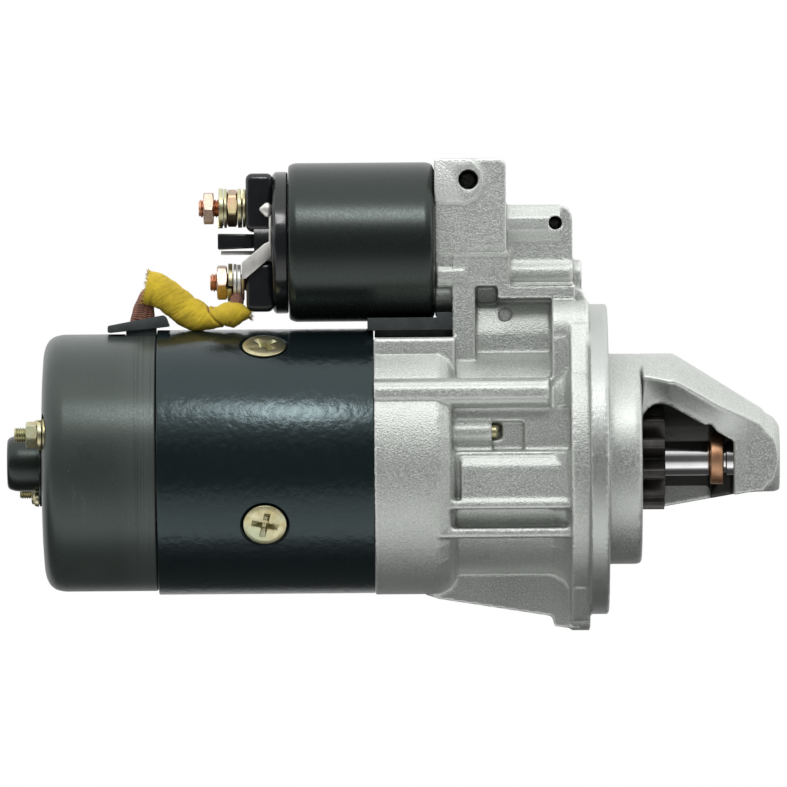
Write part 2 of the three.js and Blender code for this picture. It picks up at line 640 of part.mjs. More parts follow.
function housingSeal() {
  const pad = box(-101.2, -65.3, -20, 20, 55.1, 60.4);
  const foot = box(-98.2, -65.3, -12, 12, 52.1, 56);
  return cut(join(pad, foot), rodX(solenoidRadius + gap, -140, -60, 0, solenoidZ, fine),
    rodX(yokeRadius + gap, -120, bellRear, 0, 0, fine));
}

function leadGrommet() {
  const slab = slabY([[-211, 55.3], [-211, 58], [-189, 62.6], [-185.3, 60.6], [-185.3, 56.9], [-190, 56.9]],
    -11, 11);
  const plug = box(-203.2, -190.5, -8.9, 8.9, 49, 57);
  return cut(join(slab, plug), rodX(coverRadius + gap, -220, -203.4, 0, 0, fine), swept(leadPath, 3.9, 8, 26));
}

function fieldLead() {
  const eyelet = rodX(7.6, -157.8, -154.9, 0, motorStudZ, coarse);
  const crimpSides = join(box(-170, -157.8, -12, 12, 67.2, 90), box(-154.8, -140, -12, 12, 66.6, 90));
  return cut(join(swept(leadPath, 3.2, 8, 26), eyelet), crimpSides,
    rodX(4.2, -160, -150, 0, motorStudZ, coarse));
}

const wiring = assembly('wiring');
add(wiring, 'housing_seal', housingSeal(), 'rubber');
add(wiring, 'lead_grommet', leadGrommet(), 'rubber');
add(wiring, 'field_lead', fieldLead(), 'braid');
add(wiring, 'lead_sleeve', swept(sleevePath, 6.6, 10, 12, 4.5), 'yellowCloth');

// ---------------------------------------------------------------- armature

function armatureShaft() {
  return turned([[-249, 0], [-249, 6], [-248, 6.6], [-222, 6.6], [-222, 9], [-188, 9], [-188, 11],
    [-101, 11], [-101, 10.1], [-62, 10.1], [-62, 10], [-28, 10], [-28, shaftRadius], [67, shaftRadius],
    [68.4, 6], [68.4, 0]], medium);
}

const slotCount = 12;

function slotBars(width, inner, outer, x0, x1) {
  const bars = [];
  for (let i = 0; i < slotCount; i += 1) {
    bars.push(radialBox(x0, x1, width, inner, outer, i * 360 / slotCount));
  }
  return join(...bars);
}

function armatureWinding() {
  const rearTurns = turned([[-187.5, 21], [-187.5, 27], [-184, 33.4], [-177, 34], [-177, 21], [-187.5, 21]]);
  const frontTurns = turned([[-112.7, 21], [-112.7, 34], [-106, 33.4], [-102, 27], [-102, 21], [-112.7, 21]]);
  return join(rearTurns, frontTurns, slotBars(4.2, 28.4, 33.6, -178, -112));
}

function commutator() {
  const copper = ring(9.3, 20, -216, -189, 0, 0, medium);
  const riser = ring(15, 25, -192, -188, 0, 0, medium);
  const slits = [];
  for (let i = 0; i < slotCount; i += 1) {
    slits.push(radialBox(-220, -193, 0.8, 19.2, 21, (i + 0.5) * 360 / slotCount));
  }
  return cut(join(copper, riser), ...slits);
}

const spinning = assembly('armature');
add(spinning, 'armature_shaft', armatureShaft(), 'steel');
add(spinning, 'armature_core', cut(ring(11.3, coreRadius, -176.6, -113, 0, 0, 48),
  slotBars(4.8, 28.1, 40, -180, -110)), 'lamination');
add(spinning, 'armature_winding', armatureWinding(), 'copper');
add(spinning, 'commutator', commutator(), 'copper');
add(spinning, 'stop_collar', ring(shaftRadius + gap, 11, 43.1, 49.3), 'bronze');

// ---------------------------------------------------------------- drive

// Drive sleeve and the clutch shell it carries.
function clutchDrive() {
  return turned([[-62.5, 10.6], [-62.5, 12], [-34.6, 12], [-34.6, 26.5], [-33, 29.5], [-13, 29.5],
    [-11, 28], [-11, 14], [-23.6, 14], [-23.6, 22.2], [-30.5, 22.2], [-30.5, 10.6], [-62.5, 10.6]]);
}

function guideRing() {
  const [left, right] = [padX - 6.4, padX + 6.4];
  return turned([[left, 12.3], [left, 16.6], [left + 2, 16.6], [left + 2, 13.4], [right - 2, 13.4],
    [right - 2, 16.6], [right, 16.6], [right, 12.3], [left, 12.3]]);
}

function pinion() {
  const teeth = [];
  const root = 14.4;
  for (let i = 0; i < pinionTeeth; i += 1) {
    const at = (radius, offset) => polar(radius, (i + offset) * 360 / pinionTeeth);
    teeth.push(at(root, 0.06), at(17.6, 0.2), at(pinionRadius, 0.36), at(pinionRadius, 0.64),
      at(17.6, 0.8), at(root, 0.94));
  }
  const gear = slabX(teeth, 2.4, pinionFace);
  const chamfer = turned([[2, 0], [2, 30], [22.2, 30], [pinionFace, 19.6], [pinionFace, 0]], medium);
  const hub = turned([[-27, 0], [-27, 21.6], [-24, 21.6], [-24, 13.5], [2.5, 13.5], [2.5, 0]], medium);
  return cut(join(gear.intersect(chamfer), hub), rodX(shaftRadius + gap, -40, 40, 0, 0, medium));
}

const drive = assembly('drive');
add(drive, 'clutch_drive', clutchDrive(), 'darkSteel');
add(drive, 'guide_ring', guideRing(), 'steel');
add(drive, 'meshing_spring', spring(14.1, 1.1, padX + 6.7, -34.9, 3), 'darkSteel');
add(drive, 'pinion', pinion(), 'darkSteel');

// ---------------------------------------------------------------- lever and plunger

function leanAboutPivot(body) {
  const [x, z] = leverPivot;
  return body.translate([-x, 0, -z]).rotate([0, leverTilt, 0]).translate([x, 0, z]);
}

// Fork astride the guide ring, stem through the column, round head in the plunger's slot.
function forkLever() {
  const [x, z] = leverPivot;
  const low = z - leverLower / Math.cos(THREE.MathUtils.degToRad(leverTilt));
  const high = z + leverUpper / Math.cos(THREE.MathUtils.degToRad(leverTilt));
  const arch = cut(rodX(23.4, x - 3.2, x + 3.2, 0, low, medium), rodX(18.4, x - 9, x + 9, 0, low, medium),
    box(x - 9, x + 9, -30, 30, low - 30, low - 3));
  const pads = join(rodY(3.8, -19, -14.2, x, low), rodY(3.8, 14.2, 19, x, low));
  const stem = box(x - 3.2, x + 3.2, -4.4, 4.4, low + 18, high - 3);
  const hub = rodY(6.4, -6.2, 6.2, x, z);
  const head = rodY(4.2, -4.4, 4.4, x, high);
  return leanAboutPivot(cut(join(arch, pads, stem, hub, head), rodY(3.3, -10, 10, x, z)));
}

function plunger() {
  const slug = rodX(13.9, -101.3, -62, 0, solenoidZ);
  const springWell = rodX(8.2, -102, -85, 0, solenoidZ);
  const tail = rodX(7.6, -62.5, eyeX + 6.6, 0, solenoidZ, coarse);
  const slot = box(eyeX - 4.7, eyeX + 4.7, -5, 5, solenoidZ - 12, solenoidZ + 5.6);
  return cut(join(slug, tail), slot, springWell);
}

const shifting = assembly('shifting');
add(shifting, 'fork_lever', forkLever(), 'steel');
add(shifting, 'lever_pivot_pin', rodY(3, -15.6, 15.6, ...leverPivot), 'steel');
add(shifting, 'plunger', plunger(), 'steel');
add(shifting, 'return_spring', spring(6.6, 0.9, -111.2, -85.3, 4, 0, solenoidZ), 'steel');
add(shifting, 'contact_bridge', join(rodX(2.6, -141.6, -108.7, 0, solenoidZ, 16),
  rodX(14.2, -140.4, -138.4, 0, solenoidZ, medium)), 'copper');
add(shifting, 'contact_spring', spring(5, 0.8, -138.1, -131.3, 3, 0, solenoidZ), 'steel');

export default group;
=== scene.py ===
import json
import math
import random

import bmesh
import bpy
import numpy as np
from mathutils import Matrix, Vector

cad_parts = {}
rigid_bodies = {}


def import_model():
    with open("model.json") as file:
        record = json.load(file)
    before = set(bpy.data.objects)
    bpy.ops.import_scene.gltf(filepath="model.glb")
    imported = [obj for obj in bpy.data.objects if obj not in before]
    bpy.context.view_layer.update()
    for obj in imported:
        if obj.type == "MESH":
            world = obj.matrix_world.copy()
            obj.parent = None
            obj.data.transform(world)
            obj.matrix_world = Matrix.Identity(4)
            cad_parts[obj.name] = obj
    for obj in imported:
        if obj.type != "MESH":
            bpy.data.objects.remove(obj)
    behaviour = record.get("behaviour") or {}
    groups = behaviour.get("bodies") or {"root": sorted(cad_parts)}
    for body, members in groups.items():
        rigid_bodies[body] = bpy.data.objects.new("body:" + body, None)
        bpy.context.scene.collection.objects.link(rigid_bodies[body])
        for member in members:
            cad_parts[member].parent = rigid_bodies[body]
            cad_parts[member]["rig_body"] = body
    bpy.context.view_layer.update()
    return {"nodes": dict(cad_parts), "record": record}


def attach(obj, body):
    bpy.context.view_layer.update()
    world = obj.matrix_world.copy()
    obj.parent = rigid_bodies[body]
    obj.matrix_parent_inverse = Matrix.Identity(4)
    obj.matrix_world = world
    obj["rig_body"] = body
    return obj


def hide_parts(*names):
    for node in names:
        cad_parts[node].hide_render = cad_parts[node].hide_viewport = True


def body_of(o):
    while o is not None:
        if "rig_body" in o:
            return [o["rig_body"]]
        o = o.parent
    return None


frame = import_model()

MM = 0.001
TAU = 2 * math.pi

# ------------------------------------------------------------------ places, in millimetres

YOKE_R = 56.0
YOKE_REAR = -190.1
YOKE_FRONT = -98.7
POLE_X = -144.8
POLE_ANGLES = (-28.25, 61.75, 151.75, 241.75)
BOLT_ANGLES = (16.75, 196.75)
BOLT_CIRCLE = 42.0
COVER_R = 54.4
BELL_R = 56.6
PLATE_R = 61.0
CHEEK_SLOPE = 0.08375
LUG_R = 12.4
NECK_R = 48.3
FLANGE_R = 65.6
PILOT_R = 44.5
SOLENOID_Z = 92.6
SOLENOID_R = 33.6
BATTERY_Z = 107.3
MOTOR_Z = 75.9
PINION_FACE = 24.1
PINION_R = 21.5
PINION_TEETH = 10
LUGS = ((-25.0, 54.5), (51.5, 31.0), (0.0, -60.0))


def polar(radius, degrees):
    """y, z of a point at an angle from the front (-Y) side, upward."""
    a = math.radians(degrees)
    return -radius * math.cos(a), radius * math.sin(a)


# ------------------------------------------------------------------ mesh helpers

def build(name, verts, faces, body="frame", smooth_deg=35.0):
    """A mesh object from millimetre vertices. Its sharp edges are those over the given angle."""
    mesh = bpy.data.meshes.new(name)
    mesh.from_pydata([tuple(c * MM for c in v) for v in verts], [], [tuple(f) for f in faces])
    mesh.validate()
    obj = bpy.data.objects.new(name, mesh)
    bpy.context.scene.collection.objects.link(obj)
    fix_normals(obj)
    soften(obj, smooth_deg)
    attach(obj, body)
    return obj


def fix_normals(obj):
    bm = bmesh.new()
    bm.from_mesh(obj.data)
    bmesh.ops.remove_doubles(bm, verts=bm.verts, dist=2e-6)
    bmesh.ops.recalc_face_normals(bm, faces=bm.faces)
    bm.to_mesh(obj.data)
    bm.free()


def soften(obj, degrees):
    obj.data.shade_smooth()
    obj.data.set_sharp_from_angle(angle=math.radians(degrees))


def bake_modifiers(obj, smooth_deg=35.0):
    """Applies the object's modifiers to its mesh."""
    graph = bpy.context.evaluated_depsgraph_get()
    mesh = bpy.data.meshes.new_from_object(obj.evaluated_get(graph))
    old = obj.data
    obj.modifiers.clear()
    obj.data = mesh
    bpy.data.meshes.remove(old)
    soften(obj, smooth_deg)


def bevelled(obj, width, segments=3, limit=30.0, smooth_deg=35.0):
    mod = obj.modifiers.new("bevel", "BEVEL")
    mod.width = width * MM
    mod.segments = segments
    mod.limit_method = "ANGLE"
    mod.angle_limit = math.radians(limit)
    mod.harden_normals = False
    bake_modifiers(obj, smooth_deg)
    return obj


def boolean(obj, cutters, operation="DIFFERENCE", smooth_deg=35.0):
    for cutter in cutters:
        mod = obj.modifiers.new("boolean", "BOOLEAN")
        mod.operation = operation
        mod.solver = "EXACT"
        mod.object = cutter
    bake_modifiers(obj, smooth_deg)
    for cutter in cutters:
        bpy.data.objects.remove(cutter)
    return obj


def joined(name, objects, smooth_deg=35.0):
    """One object from several, keeping every face."""
    bm = bmesh.new()
    for obj in objects:
        bm.from_mesh(obj.data)
    mesh = bpy.data.meshes.new(name)
    bm.to_mesh(mesh)
    bm.free()
    body = body_of(objects[0])
    for obj in objects:
        bpy.data.objects.remove(obj)
    whole = bpy.data.objects.new(name, mesh)
    bpy.context.scene.collection.objects.link(whole)
    soften(whole, smooth_deg)
    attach(whole, body if isinstance(body, str) else "frame")
    return whole


def grid_faces(rows, columns, wrap_rows=False, wrap_columns=True):
    faces = []
    for r in range(rows if wrap_rows else rows - 1):
        for c in range(columns if wrap_columns else columns - 1):
            r2, c2 = (r + 1) % rows, (c + 1) % columns
            faces.append((r * columns + c, r * columns + c2, r2 * columns + c2, r2 * columns + c))
    return faces


def rounded(profile, radius, steps=4, closed=False):
    """A profile with its corners rounded by short arcs."""
    out = []
    count = len(profile)
    for i, point in enumerate(profile):
        if not closed and i in (0, count - 1):
            out.append(point)
            continue
        p = np.array(point, float)
        a = np.array(profile[i - 1], float)
        b = np.array(profile[(i + 1) % count], float)
        la, lb = np.linalg.norm(a - p), np.linalg.norm(b - p)
        r = min(radius, la * 0.45, lb * 0.45)
        if r < 1e-4:
            out.append(point)
            continue
        start, end = p + (a - p) / la * r, p + (b - p) / lb * r
        for k in range(steps + 1):
            t = k / steps
            out.append(tuple((1 - t) ** 2 * start + 2 * t * (1 - t) * p + t * t * end))
    return out


def lathe(name, profile, sides=128, y=0.0, z=0.0, closed=False, body="frame", smooth_deg=35.0):
    """Turned piece about a line parallel to X. The profile is [x, radius] points."""
    verts, faces = [], []
    rows = len(profile)
    for x, r in profile:
        for k in range(sides):
            a = TAU * k / sides
            verts.append((x, y + r * math.cos(a), z + r * math.sin(a)))
    faces = grid_faces(rows, sides, wrap_rows=closed)
    return build(name, verts, faces, body, smooth_deg)


def prism(name, outline, axis, low, high, body="frame", smooth_deg=35.0):
    """Outline extruded along X, Y or Z. Its points are the other two coordinates in order."""
    def place(u, v, w):
        return {"X": (w, u, v), "Y": (u, w, v), "Z": (u, v, w)}[axis]
    count = len(outline)
    verts = [place(u, v, low) for u, v in outline] + [place(u, v, high) for u, v in outline]
    faces = [tuple(range(count)), tuple(range(count, 2 * count))]
    faces += [(k, (k + 1) % count, count + (k + 1) % count, count + k) for k in range(count)]
    return build(name, verts, faces, body, smooth_deg)


def block(name, x0, x1, y0, y1, z0, z1, body="frame"):
    return prism(name, [(x0, z0), (x1, z0), (x1, z1), (x0, z1)], "Y", y0, y1, body)


def smooth_path(points, count):
    """Catmull-Rom curve through the points, evenly cut into count places."""
    p = [np.array(q, float) for q in points]
    p = [2 * p[0] - p[1]] + p + [2 * p[-1] - p[-2]]
    dense = []
    for i in range(1, len(p) - 2):
        for k in range(24):
            t = k / 24
            dense.append(0.5 * ((2 * p[i]) + (p[i + 1] - p[i - 1]) * t
                                + (2 * p[i - 1] - 5 * p[i] + 4 * p[i + 1] - p[i + 2]) * t * t
                                + (3 * p[i] - p[i - 1] - 3 * p[i + 1] + p[i + 2]) * t ** 3))
    dense.append(p[-2])
    dense = np.array(dense)
    length = np.concatenate([[0], np.cumsum(np.linalg.norm(np.diff(dense, axis=0), axis=1))])
    at = np.linspace(0, length[-1], count)
    return np.column_stack([np.interp(at, length, dense[:, k]) for k in range(3)]), length[-1]


def path_frames(path):
    """Tangent and two steady cross directions at each place of a path."""
    tangents = np.gradient(path, axis=0)
    tangents /= np.linalg.norm(tangents, axis=1)[:, None]
    side = np.cross(tangents[0], [0, 1, 0])
    side /= np.linalg.norm(side)
    sides = []
    for t in tangents:
        side = side - t * np.dot(side, t)
        side /= np.linalg.norm(side)
        sides.append(side.copy())
    sides = np.array(sides)
    return tangents, sides, np.cross(tangents, sides)


def tube(name, path, radius, sides=16, caps=True, body="frame", smooth_deg=60.0):
    """Tube along a path. Radius is a number or a function of place (0 to 1) and angle."""
    _, us, vs = path_frames(path)
    rows = len(path)
    verts = []
    for i in range(rows):
        for k in range(sides):
            a = TAU * k / sides
            r = radius(i / (rows - 1), a) if callable(radius) else radius
            verts.append(path[i] + us[i] * r * math.cos(a) + vs[i] * r * math.sin(a))
    faces = grid_faces(rows, sides)
    if caps:
        faces.append(tuple(range(sides)))
        faces.append(tuple(range((rows - 1) * sides, rows * sides)))
    return build(name, verts, faces, body, smooth_deg)


def threaded(name, radius, pitch, x0, x1, y, z, tip=0.8, body="frame"):
    """Stud with a helical thread and chamfered ends."""
    sides, per_turn = 40, 8
    rows = max(4, int((x1 - x0) / pitch * per_turn))
    depth = 0.55 * pitch
    verts = []
    for i in range(rows + 1):
        x = x0 + (x1 - x0) * i / rows
        ends = min(1.0, min(x - x0, x1 - x) / tip)
        for k in range(sides):
            phase = (x / pitch - k / sides) % 1.0
            v = abs(phase - 0.5) * 2
            r = radius - depth * max(0.0, min(1.0, 1.25 * v - 0.12))
            r = min(r, radius - 0.22 * radius * (1 - max(0.0, ends)))
            a = TAU * k / sides
            verts.append((x, y + r * math.cos(a), z + r * math.sin(a)))
    faces = grid_faces(rows + 1, sides)
    faces.append(tuple(range(sides)))
    faces.append(tuple(range(rows * sides, (rows + 1) * sides)))
    return build(name, verts, faces, body, 25.0)


def hex_nut(name, flats, hole, x0, x1, y, z, turn=0.0, body="frame"):
    """Hexagon nut with the usual turned chamfers on both faces and a countersunk hole."""
    per_side = 12
    sides = 6 * per_side
    inner, flat_r = hole, flats / 2
    rim = flat_r * 0.96
    slope = math.tan(math.radians(62))

    def hex_r(a):
        b = (a - math.radians(turn)) % (TAU / 6) - TAU / 12
        return flat_r / math.cos(b)

    rows = []
    angles = [TAU * k / sides for k in range(sides)]
    rows.append([(x0 + 0.7, inner) for _ in angles])
    rows.append([(x0, inner + 0.6) for _ in angles])
    rows.append([(x0, rim) for _ in angles])
    rows.append([(x0 + (hex_r(a) - rim) / slope, hex_r(a)) for a in angles])
    rows.append([(x1 - (hex_r(a) - rim) / slope, hex_r(a)) for a in angles])
    rows.append([(x1, rim) for _ in angles])
    rows.append([(x1, inner + 0.6) for _ in angles])
    rows.append([(x1 - 0.7, inner) for _ in angles])
    verts = []
    for row in rows:
        for (x, r), a in zip(row, angles):
            verts.append((x, y + r * math.cos(a), z + r * math.sin(a)))
    return build(name, verts, grid_faces(len(rows), sides, wrap_rows=True), body, 28.0)


def washer(name, inner, outer, x0, x1, y, z, body="frame"):
    edge = rounded([(x0, inner), (x0, outer), (x1, outer), (x1, inner)], 0.25, 3, closed=True)
    return lathe(name, edge, 64, y, z, closed=True, body=body)


def split_washer(name, inner, outer, x0, x1, y, z, start=0.0, body="frame"):
    """Spring washer: one turn of square wire with a slanted gap."""
    steps, rise = 72, 0.5
    thick = (x1 - x0) - rise
    section = rounded([(0, inner), (0, outer), (thick, outer), (thick, inner)], 0.2, 2, closed=True)
    verts = []
    for i in range(steps + 1):
        a = math.radians(start) + (TAU - 0.16) * i / steps
        for x, r in section:
            verts.append((x0 + rise * i / steps + x, y + r * math.cos(a), z + r * math.sin(a)))
    columns = len(section)
    faces = grid_faces(steps + 1, columns)
    faces.append(tuple(range(columns)))
    faces.append(tuple(range(steps * columns, (steps + 1) * columns)))
    return build(name, verts, faces, body, 40.0)


# ------------------------------------------------------------------ materials

class Graph:
    """A material's node graph, with short names for the nodes it uses."""

    def __init__(self, name):
        self.material = bpy.data.materials.new(name)
        self.material.use_nodes = True
        self.tree = self.material.node_tree
        self.shader = self.tree.nodes["Principled BSDF"]
        self.place = self.tree.nodes.new("ShaderNodeTexCoord").outputs["Object"]

    def add(self, kind, **settings):
        node = self.tree.nodes.new(kind)
        for key, value in settings.items():
            setattr(node, key, value)
        return node

    def feed(self, socket, value):
        if isinstance(value, bpy.types.NodeSocket):
            self.tree.links.new(value, socket)
        else:
            socket.default_value = value

    def set(self, **values):
        for key, value in values.items():
            self.feed(self.shader.inputs[key.replace("_", " ")], value)

    def noise(self, scale, detail=3.0, roughness=0.5, stretch=None, where=None):
        vector = where or self.place
        if stretch:
            mapping = self.add("ShaderNodeMapping")
            mapping.inputs["Scale"].default_value = stretch
            self.feed(mapping.inputs["Vector"], vector)
            vector = mapping.outputs["Vector"]
        node = self.add("ShaderNodeTexNoise")
        node.inputs["Scale"].default_value = scale
        node.inputs["Detail"].default_value = detail
        node.inputs["Roughness"].default_value = roughness
        self.feed(node.inputs["Vector"], vector)
        return node.outputs["Fac"]

    def cells(self, scale, feature="F1", output="Distance"):
        node = self.add("ShaderNodeTexVoronoi", feature=feature)
        node.inputs["Scale"].default_value = scale
        self.feed(node.inputs["Vector"], self.place)
        return node.outputs[output]

    def math(self, operation, a, b=0.0, clamp=False):
        node = self.add("ShaderNodeMath", operation=operation, use_clamp=clamp)
        self.feed(node.inputs[0], a)
        self.feed(node.inputs[1], b)
        return node.outputs[0]

    def span(self, value, low, high, out_low=0.0, out_high=1.0):
        node = self.add("ShaderNodeMapRange")
        for key, number in zip(("From Min", "From Max", "To Min", "To Max"), (low, high, out_low, out_high)):
            node.inputs[key].default_value = number
        self.feed(node.inputs["Value"], value)
        return node.outputs["Result"]

    def mix(self, fac, a, b):
        node = self.add("ShaderNodeMix", data_type="RGBA")
        self.feed(node.inputs["Factor"], fac)
        self.feed(node.inputs[6], a if isinstance(a, bpy.types.NodeSocket) else (*a, 1.0))
        self.feed(node.inputs[7], b if isinstance(b, bpy.types.NodeSocket) else (*b, 1.0))
        return node.outputs[2]

    def bump(self, height, distance, strength=1.0, normal=None):
        node = self.add("ShaderNodeBump")
        node.inputs["Strength"].default_value = strength
        node.inputs["Distance"].default_value = distance * MM
        self.feed(node.inputs["Height"], height)
        if normal is not None:
            self.feed(node.inputs["Normal"], normal)
        self.feed(self.shader.inputs["Normal"], node.outputs["Normal"])
        return node.outputs["Normal"]

    def axes(self):
        node = self.add("ShaderNodeSeparateXYZ")
        self.feed(node.inputs[0], self.place)
        return node.outputs

    def edges(self, low, high):
        """0 in crevices, 1 on worn edges."""
        node = self.add("ShaderNodeNewGeometry")
        return self.span(node.outputs["Pointiness"], low, high)


def cast_aluminium():
    g = Graph("cast_aluminium")
    grain = g.noise(1500, 3, 0.65)
    fleck = g.cells(1300)
    broad = g.noise(28, 3, 0.55)
    x, y, z = g.axes()
    radius = g.math("SQRT", g.math("ADD", g.math("MULTIPLY", y, y), g.math("MULTIPLY", z, z)))
    on_disc = g.math("MULTIPLY", g.math("GREATER_THAN", x, -0.0082), g.math("GREATER_THAN", radius, 0.0448))
    turned = g.math("MULTIPLY", on_disc, g.math("LESS_THAN", x, 0.0006))
    worn = g.edges(0.515, 0.56)
    deep = g.edges(0.49, 0.42)
    base = g.mix(g.span(broad, 0.3, 0.7), (0.40, 0.42, 0.395), (0.50, 0.52, 0.495))
    speck = g.mix(g.span(grain, 0.42, 0.66), base, (0.64, 0.66, 0.635))
    pits = g.mix(g.span(g.noise(700, 4, 0.7), 0.28, 0.38, 0.45, 0.0), speck, (0.20, 0.21, 0.20))
    # Painted shade: crevices (low pointiness) are darkened towards a dark grey.
    crevice_shaded = g.mix(g.math("MULTIPLY", deep, 0.55), pits, (0.15, 0.15, 0.14))
    calm = g.span(x, -0.001, 0.003, 1.0, 0.35)
    bright = g.mix(g.math("MULTIPLY", g.math("MULTIPLY", worn, 0.75), calm), crevice_shaded, (0.86, 0.87, 0.85))
    finished = g.mix(g.math("MULTIPLY", turned, 0.75), bright, (0.44, 0.46, 0.445))
    # Painted shade: the inside of the nose hollow is coloured near-black.
    g.set(Base_Color=g.mix(nose_hollow_shade(g, x, y, radius), finished, (0.035, 0.034, 0.032)))
    rough = g.span(grain, 0.3, 0.7, 0.38, 0.60)
    g.set(Roughness=g.math("SUBTRACT", rough, g.math("MULTIPLY", turned, 0.08)))
    g.shader.inputs["Metallic"].default_value = 0.88
    lines = g.noise(900, 2, 0.5, stretch=(5.0, 0.6, 0.6))
    height = g.math("ADD", g.math("MULTIPLY", fleck, 0.9), g.math("MULTIPLY", grain, 1.2))
    rest = g.math("MULTIPLY", g.math("SUBTRACT", 1.0, turned), calm)
    height = g.math("ADD", g.math("MULTIPLY", height, rest), g.math("MULTIPLY", lines, turned))
    g.bump(height, 0.15, 0.70)
    return g.material


def nose_hollow_shade(g, x, y, radius):
    """1 inside the hollow of the nose, whose colour is painted near-black as shade, 0 on the rest of the
    casting.
    """
    along = g.math("MULTIPLY", g.math("GREATER_THAN", x, 0.010), g.math("LESS_THAN", x, 0.0535))
    cheek = g.math("GREATER_THAN", g.math("SUBTRACT", y, g.math("MULTIPLY", x, CHEEK_SLOPE)), -0.0201)
    far_side = g.math("LESS_THAN", g.math("ADD", y, g.math("MULTIPLY", x, 0.3375)), 0.0400)
    within = g.math("MULTIPLY", g.math("LESS_THAN", radius, 0.0262), g.math("MULTIPLY", cheek, far_side))
    return g.math("MULTIPLY", g.math("MULTIPLY", along, within), 0.92)


def black_gloss():
    g = Graph("black_gloss_paint")
    peel = g.noise(330, 2, 0.5)
    fine = g.noise(1700, 3, 0.6)
    dust = g.span(g.noise(2600, 2, 0.7), 0.70, 0.78)
    scuff = g.span(g.noise(60, 6, 0.75, stretch=(1.0, 3.0, 3.0)), 0.64, 0.72)
    base = g.mix(g.noise(15, 2), (0.0042, 0.0080, 0.0085), (0.0070, 0.0120, 0.0125))
    g.set(Base_Color=g.mix(g.math("MULTIPLY", dust, 0.25), base, (0.06, 0.07, 0.075)))
    rough = g.span(peel, 0.3, 0.7, 0.16, 0.24)
    g.set(Roughness=g.math("ADD", rough, g.math("MULTIPLY", scuff, 0.15)))
    g.shader.inputs["Specular Tint"].default_value = (0.76, 0.97, 1.0, 1.0)
    g.bump(g.math("ADD", peel, g.math("MULTIPLY", fine, 0.12)), 0.22, 0.65)
    return g.material


def black_semi():
    g = Graph("black_semi_paint")
    peel = g.noise(900, 3, 0.55)
    speck = g.span(g.cells(1100), 0.02, 0.22, 1.0, 0.0)
    base = g.mix(g.noise(20, 3), (0.0060, 0.0080, 0.0070), (0.0105, 0.0125, 0.0110))
    g.set(Base_Color=g.mix(g.math("MULTIPLY", speck, 0.2), base, (0.07, 0.075, 0.075)))
    g.set(Roughness=g.span(peel, 0.3, 0.7, 0.25, 0.33))
    g.shader.inputs["Specular Tint"].default_value = (0.86, 1.0, 0.94, 1.0)
    g.bump(peel, 0.03, 0.5)
    return g.material


def satin_cover():
    g = Graph("satin_cover_paint")
    fine = g.noise(1300, 3, 0.6)
    broad = g.noise(24, 4, 0.6)
    rub = g.span(g.noise(45, 7, 0.78, stretch=(1.6, 1.0, 1.0)), 0.60, 0.74)
    speck = g.span(g.noise(1500, 2, 0.8), 0.70, 0.76)
    x, y, z = g.axes()
    lines = g.noise(1.0, 2, 0.5, stretch=(1500.0, 8.0, 8.0))
    near_joint = g.span(x, -0.2075, -0.1925)
    base = g.mix(g.span(broad, 0.3, 0.7), (0.024, 0.031, 0.028), (0.038, 0.047, 0.042))
    # Painted sheen: the cover is lightened near the joint; the fine dark lines there are turned marks.
    sheen_near_joint = g.mix(g.math("MULTIPLY", near_joint, 0.45), base, (0.075, 0.085, 0.080))
    rubbed = g.mix(g.math("MULTIPLY", rub, 0.50), sheen_near_joint, (0.105, 0.115, 0.110))
    lined = g.mix(g.math("MULTIPLY", g.span(lines, 0.55, 0.7), g.math("MULTIPLY", near_joint, 0.75)),
                  rubbed, (0.010, 0.011, 0.011))
    g.set(Base_Color=g.mix(g.math("MULTIPLY", speck, 0.7), lined, (0.30, 0.31, 0.29)))
    g.set(Roughness=g.math("ADD", g.span(fine, 0.3, 0.7, 0.27, 0.38), g.math("MULTIPLY", rub, 0.14)))
    g.shader.inputs["Specular Tint"].default_value = (0.86, 1.0, 0.94, 1.0)
    g.bump(g.math("ADD", fine, g.math("MULTIPLY", lines, near_joint)), 0.06, 0.6)
    return g.material


def plastic_black():
    g = Graph("black_moulding")
    peel = g.noise(500, 2, 0.5)
    base = g.mix(g.noise(60, 3), (0.006, 0.007, 0.008), (0.012, 0.013, 0.014))
    g.set(Base_Color=base, Roughness=g.span(g.noise(300, 3), 0.3, 0.7, 0.12, 0.26))
    g.bump(peel, 0.05, 0.5)
    return g.material


def plated(name, light, dark, shade, rough_low, rough_high, grain=0.05, tint=None):
    """Metal with tarnish patches, fine wear and darker recesses."""
    g = Graph(name)
    patch = g.span(g.noise(260, 4, 0.6), 0.35, 0.65)
    fine = g.noise(2400, 3, 0.6)
    colour = g.mix(patch, dark, light)
    if tint:
        colour = g.mix(g.span(g.noise(120, 3, 0.5), 0.5, 0.72), colour, tint)
    colour = g.mix(g.math("MULTIPLY", g.edges(0.49, 0.42), 0.7), colour, shade)
    g.set(Base_Color=colour, Roughness=g.span(fine, 0.3, 0.7, rough_low, rough_high))
    g.shader.inputs["Metallic"].default_value = 1.0
    g.bump(fine, grain, 0.6)
    return g.material


def ground_steel(name, colour_a, colour_b, rough, lines_scale=2200.0):
    """Turned or ground metal with fine lines round the axis."""
    g = Graph(name)
    lines = g.noise(1.0, 3, 0.6, stretch=(lines_scale, 12.0, 12.0))
    patch = g.noise(70, 3, 0.6)
    g.set(Base_Color=g.mix(g.span(patch, 0.35, 0.65), colour_a, colour_b))
    g.set(Roughness=g.span(lines, 0.3, 0.7, rough * 0.75, rough * 1.3))
    g.shader.inputs["Metallic"].default_value = 1.0
    g.bump(lines, 0.015, 0.5)
    return g.material


